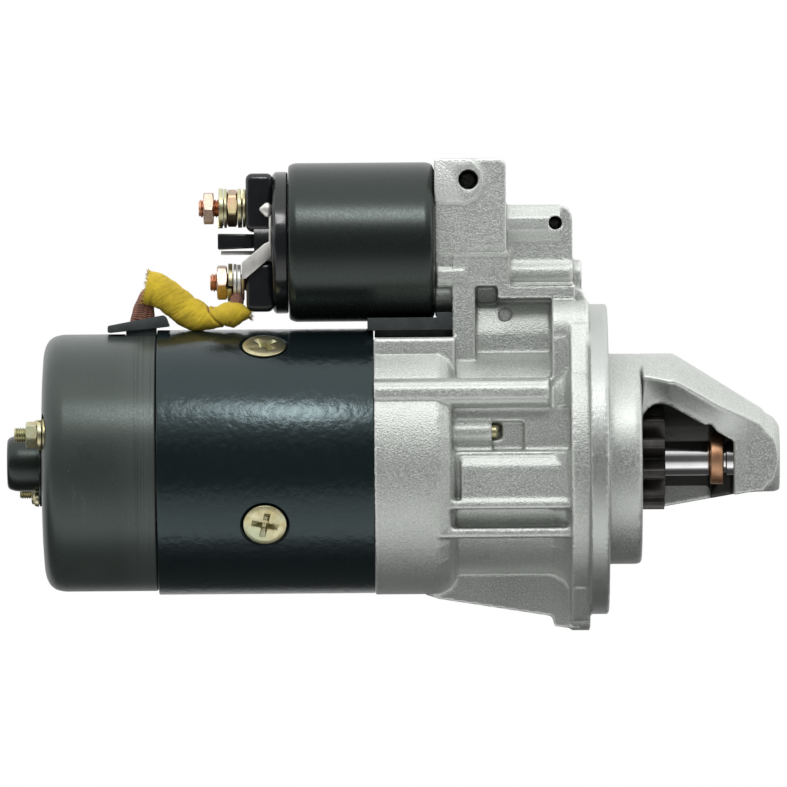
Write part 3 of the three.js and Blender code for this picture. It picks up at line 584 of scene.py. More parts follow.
def oiled_steel():
    g = Graph("oiled_steel")
    film = g.span(g.noise(180, 4, 0.6), 0.35, 0.65)
    fine = g.noise(1600, 3, 0.6)
    worn = g.edges(0.52, 0.60)
    base = g.mix(film, (0.026, 0.024, 0.023), (0.058, 0.055, 0.052))
    g.set(Base_Color=g.mix(g.math("MULTIPLY", worn, 0.5), base, (0.16, 0.155, 0.15)))
    g.set(Roughness=g.span(fine, 0.3, 0.7, 0.34, 0.52))
    g.shader.inputs["Metallic"].default_value = 0.9
    g.bump(fine, 0.04, 0.5)
    return g.material


def rubber():
    g = Graph("black_rubber")
    fine = g.noise(1400, 4, 0.65)
    bloom = g.span(g.noise(90, 4, 0.6), 0.45, 0.75)
    g.set(Base_Color=g.mix(bloom, (0.030, 0.037, 0.038), (0.060, 0.071, 0.070)))
    g.set(Roughness=g.span(fine, 0.3, 0.7, 0.50, 0.68))
    g.bump(fine, 0.08, 0.6)
    return g.material


def woven(name, weave_u, weave_v, high, mid, low, rough, depth, sheen):
    """Plain weave laid along a tube: the UV map runs along it and round it."""
    g = Graph(name)
    uv = g.add("ShaderNodeTexCoord").outputs["UV"]
    node = g.add("ShaderNodeSeparateXYZ")
    g.feed(node.inputs[0], uv)
    u, v = node.outputs[0], node.outputs[1]
    drift = g.math("MULTIPLY", g.math("SUBTRACT", g.noise(160, 3), 0.5), 1.6)
    a = g.math("ADD", g.math("MULTIPLY", u, weave_u), g.math("ADD", g.math("MULTIPLY", v, weave_v), drift))
    b = g.math("SUBTRACT", g.math("MULTIPLY", u, weave_u),
               g.math("SUBTRACT", g.math("MULTIPLY", v, weave_v), drift))
    wave_a = g.math("SINE", g.math("MULTIPLY", a, TAU))
    wave_b = g.math("SINE", g.math("MULTIPLY", b, TAU))
    thread = g.math("MULTIPLY", g.math("ADD", g.math("MULTIPLY", wave_a, wave_b), 1.0), 0.5)
    fuzz = g.noise(3200, 3, 0.7)
    soil = g.span(g.noise(150, 5, 0.65), 0.35, 0.68)
    lit = g.mix(g.math("MULTIPLY", thread, fuzz), mid, high)
    worn = g.mix(g.math("MULTIPLY", soil, 0.55), lit, low)
    # Painted shade: creases and folds (low pointiness) are darkened to the low colour.
    g.set(Base_Color=g.mix(g.math("MULTIPLY", g.edges(0.50, 0.44), 0.7), worn, low))
    g.set(Roughness=g.span(fuzz, 0.3, 0.7, rough - 0.08, rough + 0.06))
    g.shader.inputs["Sheen Weight"].default_value = sheen
    g.bump(g.math("ADD", thread, g.math("MULTIPLY", fuzz, 0.5)), depth, 0.9)
    return g


CAST = cast_aluminium()
GLOSS = black_gloss()
SEMI = black_semi()
SATIN = satin_cover()
MOULDING = plastic_black()
ZINC = plated("yellow_zinc", (0.60, 0.56, 0.37), (0.44, 0.39, 0.21), (0.10, 0.07, 0.03), 0.26, 0.46,
              tint=(0.46, 0.50, 0.34))
COPPER = plated("copper_plate", (0.78, 0.46, 0.33), (0.56, 0.28, 0.17), (0.14, 0.06, 0.03), 0.25, 0.45)
BRONZE = plated("bronze", (0.40, 0.21, 0.12), (0.22, 0.11, 0.06), (0.05, 0.025, 0.015), 0.35, 0.55)
PALE_BRONZE = plated("pale_bronze", (0.56, 0.33, 0.20), (0.40, 0.21, 0.12), (0.08, 0.04, 0.02), 0.38, 0.55)
TIN = plated("tinned", (0.86, 0.85, 0.82), (0.72, 0.71, 0.68), (0.22, 0.21, 0.20), 0.38, 0.55)
SHAFT = ground_steel("ground_shaft", (0.56, 0.56, 0.57), (0.66, 0.66, 0.67), 0.13)
STEEL = ground_steel("turned_steel", (0.36, 0.36, 0.36), (0.50, 0.50, 0.50), 0.32, 1400.0)
OILED = oiled_steel()
PINK_ZINC = plated("pink_zinc", (0.54, 0.41, 0.34), (0.38, 0.28, 0.22), (0.12, 0.08, 0.05), 0.28, 0.46,
                   tint=(0.56, 0.40, 0.24))
RED_ZINC = plated("red_zinc", (0.46, 0.30, 0.22), (0.34, 0.25, 0.14), (0.10, 0.05, 0.03), 0.26, 0.44,
                  tint=(0.36, 0.34, 0.18))
RUBBER = rubber()
LAMINATE = ground_steel("laminated_core", (0.14, 0.14, 0.15), (0.24, 0.24, 0.25), 0.45, 2000.0)
CARBON = plated("brush_carbon", (0.09, 0.075, 0.07), (0.05, 0.045, 0.045), (0.01, 0.01, 0.01), 0.5, 0.7)
BRAID = woven("copper_braid", 46, 5, (0.56, 0.25, 0.15), (0.30, 0.11, 0.065), (0.07, 0.03, 0.02), 0.55, 0.50,
              0.15).material
CLOTH = woven("yellow_cloth", 62, 44, (0.95, 0.72, 0.040), (0.80, 0.57, 0.020), (0.42, 0.29, 0.015), 0.72,
              0.22, 0.08).material
FRAY = plated("frayed_thread", (0.78, 0.62, 0.16), (0.52, 0.38, 0.06), (0.25, 0.17, 0.03), 0.6, 0.8)
ENAMEL = plated("enamelled_copper", (0.42, 0.18, 0.07), (0.28, 0.10, 0.04), (0.05, 0.02, 0.01), 0.28, 0.42)


def dress(obj, material):
    obj.data.materials.clear()
    obj.data.materials.append(material)
    return obj


# ------------------------------------------------------------------ camera, lights and floor

VIEW_CENTRE = (-90.4, 28.4)        # x, z that the camera looks at
CAMERA_DISTANCE = 5600.0
FIELD_WIDTH = 333.1                # millimetres across the picture at the motor's axis
ROLL_DEG = 0.45
SENSOR = 36.0


def set_camera():
    data = bpy.data.cameras.new("camera")
    data.sensor_width = SENSOR
    data.lens = SENSOR * CAMERA_DISTANCE / FIELD_WIDTH
    data.clip_end = 50.0
    camera = bpy.data.objects.new("camera", data)
    bpy.context.scene.collection.objects.link(camera)
    camera.location = (VIEW_CENTRE[0] * MM, -CAMERA_DISTANCE * MM, VIEW_CENTRE[1] * MM)
    camera.rotation_euler = (math.radians(90), math.radians(ROLL_DEG), 0)
    bpy.context.scene.camera = camera


def area_light(name, place, target, width, height, power, colour=(1, 1, 1)):
    data = bpy.data.lights.new(name, "AREA")
    data.shape = "RECTANGLE"
    data.size, data.size_y = width, height
    data.energy = power
    data.color = colour
    light = bpy.data.objects.new(name, data)
    light.location = place
    aim = Vector(target) - Vector(place)
    light.rotation_euler = aim.to_track_quat("-Z", "Y").to_euler()
    light.visible_camera = False
    bpy.context.scene.collection.objects.link(light)


SKY = (                            # degrees up from the front (-Y), brightness
    (-180, 0.75), (-158, 0.55), (-143, 0.08), (-92, 0.06), (-76, 0.28), (-66, 1.60), (-50, 1.35), (-34, 0.95),
    (-22, 0.22), (-14, 0.12), (14, 0.12), (26, 0.5), (36, 1.15), (62, 1.55), (82, 1.5), (100, 1.35),
    (140, 1.25),
    (180, 0.9))
SKY_TOP = 2.0


def set_world():
    """White for the camera; for light and reflections, a light tent that is open towards the camera."""
    world = bpy.data.worlds.new("studio")
    bpy.context.scene.world = world
    world.use_nodes = True
    tree = world.node_tree
    tree.nodes.clear()

    def add(kind, **settings):
        node = tree.nodes.new(kind)
        for key, value in settings.items():
            setattr(node, key, value)
        return node

    coordinate = add("ShaderNodeTexCoord")
    split = add("ShaderNodeSeparateXYZ")
    tree.links.new(coordinate.outputs["Generated"], split.inputs[0])
    forward = add("ShaderNodeMath", operation="MULTIPLY")
    forward.inputs[1].default_value = -1.0
    tree.links.new(split.outputs[1], forward.inputs[0])
    angle = add("ShaderNodeMath", operation="ARCTAN2")
    tree.links.new(split.outputs[2], angle.inputs[0])
    tree.links.new(forward.outputs[0], angle.inputs[1])
    place = add("ShaderNodeMapRange")
    place.inputs["From Min"].default_value = -math.pi
    place.inputs["From Max"].default_value = math.pi
    tree.links.new(angle.outputs[0], place.inputs["Value"])
    ramp = add("ShaderNodeValToRGB")
    tree.links.new(place.outputs["Result"], ramp.inputs[0])
    stops = ramp.color_ramp.elements
    while len(stops) < len(SKY):
        stops.new(0.5)
    for stop, (degrees, level) in zip(stops, SKY):
        stop.position = (degrees + 180) / 360
        stop.color = (level / SKY_TOP,) * 3 + (1.0,)
    studio = add("ShaderNodeBackground")
    studio.inputs["Strength"].default_value = SKY_TOP
    tree.links.new(ramp.outputs[0], studio.inputs["Color"])
    paper = add("ShaderNodeBackground")
    paper.inputs["Color"].default_value = (1, 1, 1, 1)
    paper.inputs["Strength"].default_value = 1.0
    path = add("ShaderNodeLightPath")
    pick = add("ShaderNodeMixShader")
    tree.links.new(path.outputs["Is Camera Ray"], pick.inputs[0])
    tree.links.new(studio.outputs[0], pick.inputs[1])
    tree.links.new(paper.outputs[0], pick.inputs[2])
    out = add("ShaderNodeOutputWorld")
    tree.links.new(pick.outputs[0], out.inputs[0])


def set_floor():
    size, level = 0.9, -0.250
    corners = [(-size - 0.09, -size), (size - 0.09, -size), (size - 0.09, size), (-size - 0.09, size)]
    mesh = bpy.data.meshes.new("floor")
    mesh.from_pydata([(x, y, level) for x, y in corners], [], [(0, 1, 2, 3)])
    floor = bpy.data.objects.new("floor", mesh)
    bpy.context.scene.collection.objects.link(floor)
    g = Graph("floor_paper")
    g.set(Base_Color=g.mix(g.noise(6, 2), (0.80, 0.80, 0.80), (0.84, 0.84, 0.84)))
    g.shader.inputs["Roughness"].default_value = 0.9
    mesh.materials.append(g.material)
    floor.visible_glossy = False
    floor.visible_diffuse = False
    floor.visible_shadow = False


set_camera()
set_world()
set_floor()
area_light("key", (-0.24, -0.93, 0.98), (-0.14, 0.0, 0.03), 0.28, 0.26, 1.35)
area_light("case key", (-0.06, -0.80, 0.73), (-0.10, 0.0, 0.09), 0.20, 0.26, 2.0)
area_light("side", (1.3, -0.5, 0.35), (0.0, 0.0, 0.03), 0.7, 0.9, 1.2)
bpy.context.scene.view_settings.view_transform = "Standard"
bpy.context.scene.view_settings.look = "None"


# ------------------------------------------------------------------ drive-end housing

def voxel_copy(node, name, voxel, fillers=()):
    """A remeshed copy of a CAD node and some boxes, in which every sharp corner can be softened."""
    data = frame["nodes"][node].data.copy()
    shape = bmesh.new()
    shape.from_mesh(data)
    for x0, x1, y0, y1, z0, z1 in fillers:
        middle = Vector(((x0 + x1) / 2, (y0 + y1) / 2, (z0 + z1) / 2)) * MM
        size = Vector((x1 - x0, y1 - y0, z1 - z0)) * MM
        bmesh.ops.create_cube(shape, matrix=Matrix.LocRotScale(middle, None, size))
    shape.to_mesh(data)
    shape.free()
    obj = bpy.data.objects.new(name, data)
    bpy.context.scene.collection.objects.link(obj)
    mod = obj.modifiers.new("remesh", "REMESH")
    mod.mode = "VOXEL"
    mod.voxel_size = voxel * MM
    graph = bpy.context.evaluated_depsgraph_get()
    mesh = bpy.data.meshes.new_from_object(obj.evaluated_get(graph))
    obj.modifiers.clear()
    obj.data = mesh
    return obj


def read_points(mesh):
    points = np.empty(len(mesh.vertices) * 3)
    mesh.vertices.foreach_get("co", points)
    return points.reshape(-1, 3) / MM


def write_points(mesh, points):
    mesh.vertices.foreach_set("co", (points * MM).ravel())
    mesh.update()


def relax(mesh, points, rounds, pull=0.5, push=-0.52):
    """Evens out steps in the surface without shrinking it."""
    edges = np.empty(len(mesh.edges) * 2, dtype=np.int64)
    mesh.edges.foreach_get("vertices", edges)
    a, b = edges.reshape(-1, 2).T
    count = len(points)
    degree = np.bincount(a, minlength=count) + np.bincount(b, minlength=count)
    for turn in range(rounds * 2):
        total = np.column_stack([np.bincount(a, points[b, k], count) + np.bincount(b, points[a, k], count)
                                 for k in range(3)])
        mean = total / np.maximum(degree, 1)[:, None]
        points = points + (mean - points) * (pull if turn % 2 == 0 else push)
    return points


def snap_round(points, radius, x0, x1, y=0.0, z=0.0, slack=0.45, keep=None):
    """Moves points that lie on a faceted cylinder along X out to the true radius."""
    dy, dz = points[:, 1] - y, points[:, 2] - z
    r = np.hypot(dy, dz)
    r_at = radius(points[:, 0]) if callable(radius) else np.full(len(points), radius)
    near = (points[:, 0] > x0) & (points[:, 0] < x1) & (r > r_at * 0.9945 - slack * 0.5) & (r < r_at + slack)
    if keep is not None:
        near &= keep(points)
    points[near, 1] = y + dy[near] * r_at[near] / r[near]
    points[near, 2] = z + dz[near] * r_at[near] / r[near]


def nose_radius(x):
    return np.interp(x, [0, 27.4, 30, 65.1, 66.7, 69.9, 72.3],
                     [PILOT_R, PILOT_R, 43.2, 21.1, 19.2, 17.4, 14.2])


def raise_cheek(points):
    """Rounds the flat near cheek of the nose up into a shoulder that meets the hood further down."""
    x, y, z = points.T
    plane = -22.2 + CHEEK_SLOPE * (x + 10)
    window = np.interp(x, [14.1, 14.9, 17, 19.8, 22.6, 25.8, 52.9, 60, 70],
                       [14.5, 18.6, 21.4, 23, 23.3, 22.5, 7.3, 4, 0])
    shoulder = np.interp(x, [12, 26.4, 46.3, 57.7, 64], [-27, -30.9, -24.4, -18.9, -16.3])
    reach = nose_radius(x)
    edge = np.sqrt(np.maximum(reach ** 2 - shoulder ** 2, 1.0))
    near = (x > 14.4) & (x < 64) & (np.abs(y - plane) < 0.6) & (z > window) & (np.hypot(y, z) < reach + 0.5)
    rise = np.clip((z - window) / np.maximum(edge - window, 0.5), 0, 1) ** 1.3
    bulged = plane + (shoulder - plane) * rise
    on_hood = -np.sqrt(np.maximum(reach ** 2 - z ** 2, plane ** 2))
    points[near, 1] = np.where(z > edge, on_hood, bulged)[near]


def slope_recess(points):
    """Turns the ledge below the recess beside the solenoid legs into a ramp."""
    x, y, z = points.T
    face = (x > -55.6) & (x < -20.4) & (np.abs(np.abs(y) - 17) < 0.6) & (z > 52.5) & (z < 68.0)
    most = np.interp(x[face], [-46, -42, -24, -20.5], [6.0, 4.6, 4.0, 0.5])
    points[face, 1] -= np.sign(y[face]) * most * ((z[face] - 52.5) / 14.3) ** 1.4


def make_housing():
    voxel = 0.85
    fillers = [(-57, -44.5, side * 17.5 - 6.3, side * 17.5 + 6.3, 73.4, 82) for side in (-1, 1)]
    obj = voxel_copy("drive_end_housing", "housing_casting", voxel, fillers)
    points = read_points(obj.data)
    snap_round(points, BELL_R, -98.2, -72.0, keep=lambda p: p[:, 2] < 51.0)
    snap_round(points, NECK_R, -63.5, -15.2)
    snap_round(points, FLANGE_R, -7.6, -0.8)
    snap_round(points, PLATE_R, -15.6, -8.4)
    snap_round(points, PILOT_R, 0.6, 12.0)
    snap_round(points, nose_radius, 14.5, 71.5, keep=lambda p: p[:, 2] > 2)
    for (y, z), start in zip(LUGS, (-23.2, -15.6, -15.6)):
        snap_round(points, LUG_R, start, -8.2, y, z)
    for side in (-1, 1):
        snap_round(points, 5.9, -97, -25, side * 46, 28.5)
    raise_cheek(points)
    slope_recess(points)
    points = relax(obj.data, points, 5)
    write_points(obj.data, points)
    soften(obj, 180.0)
    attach(obj, "frame")
    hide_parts("drive_end_housing")
    dress(obj, CAST)
    return obj


def flash_line(name, start, end, out, seed):
    """Thin uneven fin of metal left where two halves of the mould met."""
    rng = random.Random(seed)
    start, end, out = (np.array(v, dtype=float) for v in (start, end, out))
    along = (end - start) / np.linalg.norm(end - start)
    side = np.cross(along, out) * 0.28
    count = max(6, int(np.linalg.norm(end - start) / 0.8))
    verts = []
    for i in range(count + 1):
        place = start + (end - start) * i / count
        height = 0.0 if i in (0, count) else rng.uniform(0.25, 0.80)
        verts += [place - side - out * 0.4, place + side * rng.uniform(-0.8, 0.8) + out * height,
                  place + side - out * 0.4]
    build(name, verts, grid_faces(count + 1, 3) + [(0, 1, 2), (count * 3, count * 3 + 2, count * 3 + 1)])
    obj = bpy.data.objects[name]
    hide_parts("drive_end_housing")
    dress(obj, CAST)


def make_flash():
    for side, word in ((-1, "near"), (1, "far")):
        out = (0, side, 0)
        lines = (((-72, 87.3), (-41.8, 87.3), 25.0), ((-65, 53), (-65, 87), 24.2),
                 ((-56, 53), (-56, 73), 24.2),
                 ((-41.4, 74), (-41.4, 87), 24.2), ((-45, 68.5), (-14.5, 68.5), 24.2),
                 ((-41, 73.6), (-14.5, 73.6), 24.2))
        for index, (a, b, y) in enumerate(lines):
            flash_line(f"flash_{word}_{index}", (a[0], side * y, a[1]), (b[0], side * y, b[1]), out,
                       11 * index + 3 + side)


def make_pad():
    """Raised pad round the blind hole on the near side of the solenoid block."""
    top, low = 127.0, 108.9
    outline = [(-72.3, top), (-72.3, low)]
    outline += [(-61.1 + 9.2 * math.sin(math.radians(a)), 118.1 - 9.2 * math.cos(math.radians(a)))
                for a in range(0, 160, 8)]
    outline.append((-59.5, top))
    pad = prism("block_pad_detail", outline, "Y", -26.1, -24.4)
    hole = [(-58.2 + 4.3 * math.cos(TAU * k / 40), 118.4 + 4.3 * math.sin(TAU * k / 40)) for k in range(40)]
    boolean(pad, [prism("hole", hole, "Y", -28, -22)])
    bevelled(pad, 0.55, 3, 40)
    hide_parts("drive_end_housing")
    dress(pad, CAST)


make_housing()
make_flash()
make_pad()


# ------------------------------------------------------------------ motor body

def make_yoke():
    profile = rounded([(YOKE_REAR, 50.6), (YOKE_REAR, YOKE_R), (YOKE_FRONT, YOKE_R), (YOKE_FRONT, 50.6)],
                      0.5, 3, closed=True)
    yoke = lathe("yoke_shell", profile, 192, closed=True)
    cutters = []
    for angle in POLE_ANGLES:
        seat = turned_radial("seat", [(46, 0), (46, 5.4), (51.8, 5.4), (54.4, 9.6), (55.0, 10.4), (60, 10.9),
                                      (60, 0)],
                             POLE_X, angle, 64)
        cutters.append(seat)
    boolean(yoke, cutters)
    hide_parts("yoke_tube")
    dress(yoke, GLOSS)


def turned_radial(name, profile, x, angle, sides, body="frame"):
    """Turned piece about a radial line. Profile points are [distance from the axis, radius]."""
    a = math.radians(angle)
    out = np.array([0, -math.cos(a), math.sin(a)])
    across = np.cross([1, 0, 0], out)
    verts = []
    for distance, r in profile:
        for k in range(sides):
            b = TAU * k / sides
            verts.append(np.array([x, 0, 0]) + out * distance + r * (math.cos(b) * np.array([1.0, 0, 0])
                                                                     + math.sin(b) * across))
    return build(name, verts, grid_faces(len(profile), sides), body)


def make_pole_screw(index, angle):
    head = rounded([(41.4, 0), (41.4, 4.9), (51.6, 4.9), (54.4, 8.4), (55.1, 9.2), (55.7, 9.1),
                    (56.1, 7.4), (56.3, 0)], 0.35, 3)
    screw = turned_radial(f"pole_screw_{index}_detail", head, POLE_X, angle, 96)
    a = math.radians(angle)
    out = np.array([0, -math.cos(a), math.sin(a)])
    across = np.cross([1, 0, 0], out)
    twist = math.radians((12, -38, 25, 50)[index - 1])
    cutters = []
    for turn, extra in ((0, 0.0), (90, 0.17)):
        b = twist + math.radians(turn)
        along = math.cos(b) * np.array([1.0, 0, 0]) + math.sin(b) * across
        cross = np.cross(out, along)
        verts = []
        for distance, long, wide in ((52.6 + extra, 2.4, 0.75), (56.35, 5.9, 1.35), (57.5 + extra, 6.9, 1.5)):
            for s, t in ((-1, -1), (1, -1), (1, 1), (-1, 1)):
                verts.append(np.array([POLE_X, 0, 0]) + out * distance + along * long * s + cross * wide * t)
        cutters.append(build("cross", verts, [(0, 1, 2, 3), (8, 9, 10, 11), *grid_faces(3, 4)]))
    cutters.append(turned_radial("dimple", [(52.9, 0), (52.9, 1.1), (58.3, 3.2), (58.3, 0)], POLE_X, angle,
                                 22))
    boolean(screw, cutters)
    bevelled(screw, 0.25, 2, 40)
    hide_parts(f"pole_screw_{index}")
    dress(screw, ZINC)


def make_cover():
    profile = [(YOKE_REAR - 0.3, 51.6), (YOKE_REAR - 0.3, COVER_R - 0.5), (-191.0, COVER_R),
               (-230.0, COVER_R),
               (-233.6, 53.6), (-235.9, 51.9), (-237.3, 49.5), (-238.1, 46.5), (-238.7, 38), (-239.0, 26),
               (-239.1, 12.2),
               (-239.1, 7.2), (-228.5, 7.2), (-228.5, 12.6), (-233.6, 14), (-232.4, 47.6), (-229.6, 51.6)]
    cover = lathe("rear_cover_shell", rounded(profile, 1.2, 3, closed=True), 192, closed=True)
    cutters = []
    for angle in BOLT_ANGLES:
        y, z = polar(BOLT_CIRCLE, angle)
        cutters.append(lathe("pocket", [(-250, 0), (-250, 9.6), (-236.6, 8.8), (-236.6, 0)], 48, y, z))
        cutters.append(lathe("hole", [(-250, 0), (-250, 3.5), (-230, 3.5), (-230, 0)], 32, y, z))
    notch = block("notch", -203.6, -189, -9.3, 9.3, 48, 58)
    cutters.append(notch)
    boolean(cover, cutters)
    bevelled(cover, 0.5, 2, 40)
    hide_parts("rear_cover")
    dress(cover, SATIN)

    front = -239.4
    cup = lathe("bearing_cap_cup", rounded([(front, 9.6), (front, 11.8), (-250.4, 11.8), (-254, 10.6),
                                            (-254, 0.01),
                                            (-252.6, 0.01), (-252.6, 9.0), (-250.2, 9.6)], 3.2, 6,
                                            closed=True),
                96, closed=True)
    outline = []
    for k in range(64):
        a = TAU * k / 64
        reach = 11.9 + 6.4 * max(0.0, abs(math.sin(a)) - 0.42) ** 0.9 / 0.58 ** 0.9
        outline.append((reach * math.cos(a) * (0.9 if abs(math.sin(a)) > 0.9 else 1), reach * math.sin(a)))
    plate = prism("bearing_cap_plate", outline, "X", front - 1.1, front)
    bevelled(plate, 0.35, 2, 40)
    cap = joined("bearing_cap_detail", [cup, plate])
    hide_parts("bearing_cap")
    dress(cap, SEMI)
    for index, z in ((1, 15.2), (2, -15.2)):
        head = -240.8
        screw = lathe(f"cap_screw_{index}_detail",
                      rounded([(head - 2.3, 0), (head - 2.3, 1.6), (head - 1.6, 2.9),
                                                            (head, 3.3), (head, 1.6), (-233, 1.6), (-233, 0)],
                                                           0.3, 3), 48, 0, z)
        slot = block("slot", head - 3, head - 1.3, -4, 4, z - 0.4, z + 0.4)
        boolean(screw, [slot])
        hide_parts(f"cap_screw_{index}")
        dress(screw, ZINC)


def make_bolts():
    for index, angle in enumerate(BOLT_ANGLES, 1):
        y, z = polar(BOLT_CIRCLE, angle)
        bolt = threaded(f"through_bolt_{index}_thread", 3.25, 1.0, -249.9, -236.5, y, z, tip=0.7)
        shank = lathe("shank", rounded([(-236.6, 0), (-236.6, 2.9), (-47.4, 2.9), (-46.6, 2.2), (-46.6, 0)],
                                       0.2, 2),
                      32, y, z)
        bolt = joined(f"through_bolt_{index}_detail", [bolt, shank])
        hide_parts(f"through_bolt_{index}")
        dress(bolt, ZINC)
        nut = hex_nut(f"through_bolt_nut_{index}_detail", 10.0, 2.9, -245.0, -240.2, y, z, turn=19 * index)
        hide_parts(f"through_bolt_nut_{index}")
        dress(nut, ZINC)
        spring = split_washer("spring", 3.4, 6.4, -240.2, -238.0, y, z, 120 * index)
        flat = washer("flat", 3.4, 6.9, -237.9, -236.8, y, z)
        both = joined(f"through_bolt_washer_{index}_detail", [spring, flat])
        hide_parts(f"through_bolt_washer_{index}")
        dress(both, ZINC)


make_yoke()
for number, place in enumerate(POLE_ANGLES, 1):
    make_pole_screw(number, place)
make_cover()
make_bolts()


# ------------------------------------------------------------------ solenoid and terminals



def make_solenoid_case():
    rear, front = -134.2, -72.45
    profile = [(rear + 0.2, 30.8), (rear - 0.1, 31.6), (rear + 0.4, 32.7), (rear + 2.6, SOLENOID_R),
               (front - 3.6, SOLENOID_R), (front - 1.2, SOLENOID_R - 0.7), (front, SOLENOID_R - 3.4),
               (front, 14.6), (front - 4, 14.6), (front - 4, 30.8)]
    case = lathe("solenoid_case_shell", rounded(profile, 1.6, 5, closed=True), 192, 0, SOLENOID_Z,
                 closed=True)
    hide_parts("solenoid_case")
    dress(case, SEMI)


def make_switch_cap():
    rear = -152.2
    disc = lathe("cap_disc", [(-134.5, 0), (-134.5, 30), (-139.6, 30), (-141, 28.9), (-141, 0)], 144, 0,
                 SOLENOID_Z)
    bevelled(disc, 0.9, 4, 40)
    upper = block("cap_upper", rear, -140.6, -15.8, 15.8, 97.2, 121.8)
    lower = block("cap_lower", rear, -140.6, -15.8, 15.8, 63.4, 84.5)
    middle = lathe("cap_middle", [(rear + 3.4, 0), (rear + 3.4, 16.1), (-140.6, 16.1), (-140.6, 0)], 96, 0,
                   SOLENOID_Z)
    for part in (upper, lower):
        bevelled(part, 2.8, 6, 60)
    blade = prism("cap_blade", [(-164.2, 89.8), (-148, 90.4), (-148, 96.2), (-164.2, 96.5)], "Y", -9.5, 9.5)
    bevelled(blade, 0.6, 3, 60)
    seats = []
    for z in (BATTERY_Z, MOTOR_Z):
        hole = lathe("hole", [(rear - 2, 0), (rear - 2, 4.2), (-141.5, 4.2), (-141.5, 0)], 48, 0, z)
        seats.append(hole)
    boolean(upper, seats[:1])
    boolean(lower, seats[1:])
    cap = joined("switch_cap_detail", [disc, upper, lower, middle, blade])
    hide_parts("switch_cap")
    dress(cap, MOULDING)


def make_terminals():
    for name, z, end in (("battery_terminal", BATTERY_Z, -172.2), ("motor_terminal", MOTOR_Z, -167.6)):
        stud = threaded(f"{name}_stud", 3.9, 1.25, end, -143.4, 0, z, tip=0.9)
        head = block("head", -146, -143, -7, 7, z - 4.6, z + 4.6)
        bevelled(head, 0.5, 2)
        stud = joined(f"{name}_detail", [stud, head])
        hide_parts(name)
        dress(stud, COPPER)
    outer = hex_nut("battery_nut_outer_detail", 13.0, 3.5, -170.2, -165.9, 0, BATTERY_Z, turn=4)
    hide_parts("battery_nut_outer")
    dress(outer, PINK_ZINC)
    split = split_washer("split", 4.1, 8.5, -164.1, -161.6, 0, BATTERY_Z, 250)
    flat = washer("flat", 4.2, 8.3, -161.5, -160.3, 0, BATTERY_Z)
    ring = joined("battery_washer_detail", [split, flat])
    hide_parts("battery_washer")
    dress(ring, ZINC)
    inner = hex_nut("battery_nut_inner_detail", 14.3, 3.5, -160.2, -155.9, 0, BATTERY_Z, turn=17)
    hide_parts("battery_nut_inner")
    dress(inner, RED_ZINC)
    under = split_washer("under", 4.1, 8.3, -155.9, -153.7, 0, BATTERY_Z, 80)
    seat = washer("seat", 4.2, 8.1, -153.6, -152.4, 0, BATTERY_Z)
    pair = joined("battery_nut_inner_washers", [under, seat])
    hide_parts("battery_nut_inner")
    dress(pair, ZINC)

    nut = hex_nut("motor_nut_detail", 13.6, 3.5, -164.7, -160.4, 0, MOTOR_Z, turn=9)
    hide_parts("motor_nut")
    dress(nut, PINK_ZINC)
    spring = split_washer("motor_spring_washer", 4.1, 8.1, -160.3, -158.0, 0, MOTOR_Z, 200)
    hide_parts("motor_washer")
    dress(spring, ZINC)


def make_strap():
    y = -17.6
    outline = [(-153.9, 77.6), (-153.9, 84.2), (-144.2, 92.2), (-142.5, 92.8), (-142.5, 104.5),
               (-141.3, 104.5),
               (-141.3, 86.6), (-152.6, 77.2)]
    strip = prism("strap_strip", outline, "Y", y, y + 1.1)
    bevelled(strip, 0.3, 2, 30)
    lug = prism("strap_lug", [(y + 0.2, 77.3), (y + 0.2, 84.0), (-7, 84.4), (-2, 84.1), (4.6, 82.2),
                              (7.6, 77.2),
                              (6.4, 71.5), (2, 68.4), (-3, 68.3), (-7.2, 71.2)], "X", -154.1, -153.1)
    bevelled(lug, 0.25, 2, 30)
    hole = lathe("hole", [(-156, 0), (-156, 4.2), (-150, 4.2), (-150, 0)], 48, 0, MOTOR_Z)
    boolean(lug, [hole])
    verts, rows, columns = [], 14, 20
    for i in range(rows + 1):
        lat = math.pi * i / rows
        for k in range(columns):
            a = TAU * k / columns
            pull = 1.0 + 0.5 * max(0.0, -math.cos(a)) ** 4 * math.sin(lat) ** 6
            verts.append((-143.1 + 2.2 * pull * math.sin(lat) * math.cos(a),
                          y - 0.1 + 1.7 * math.sin(lat) * math.sin(a),
                          106.6 - 3.1 * math.cos(lat) * (1.1 if lat < 1.5 else 0.9)))
    blob = build("strap_solder", verts, grid_faces(rows + 1, columns), smooth_deg=80)
    strap = joined("terminal_strap_detail", [strip, lug, blob])
    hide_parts("terminal_strap")
    dress(strap, TIN)
    spade = block("spade_terminal_detail", -163, -147.2, -3.15, 3.15, 87.6, 89.2)
    bevelled(spade, 0.35, 2, 40)
    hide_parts("spade_terminal")
    dress(spade, TIN)


make_solenoid_case()
make_switch_cap()
make_terminals()
make_strap()


# ------------------------------------------------------------------ rubber pieces

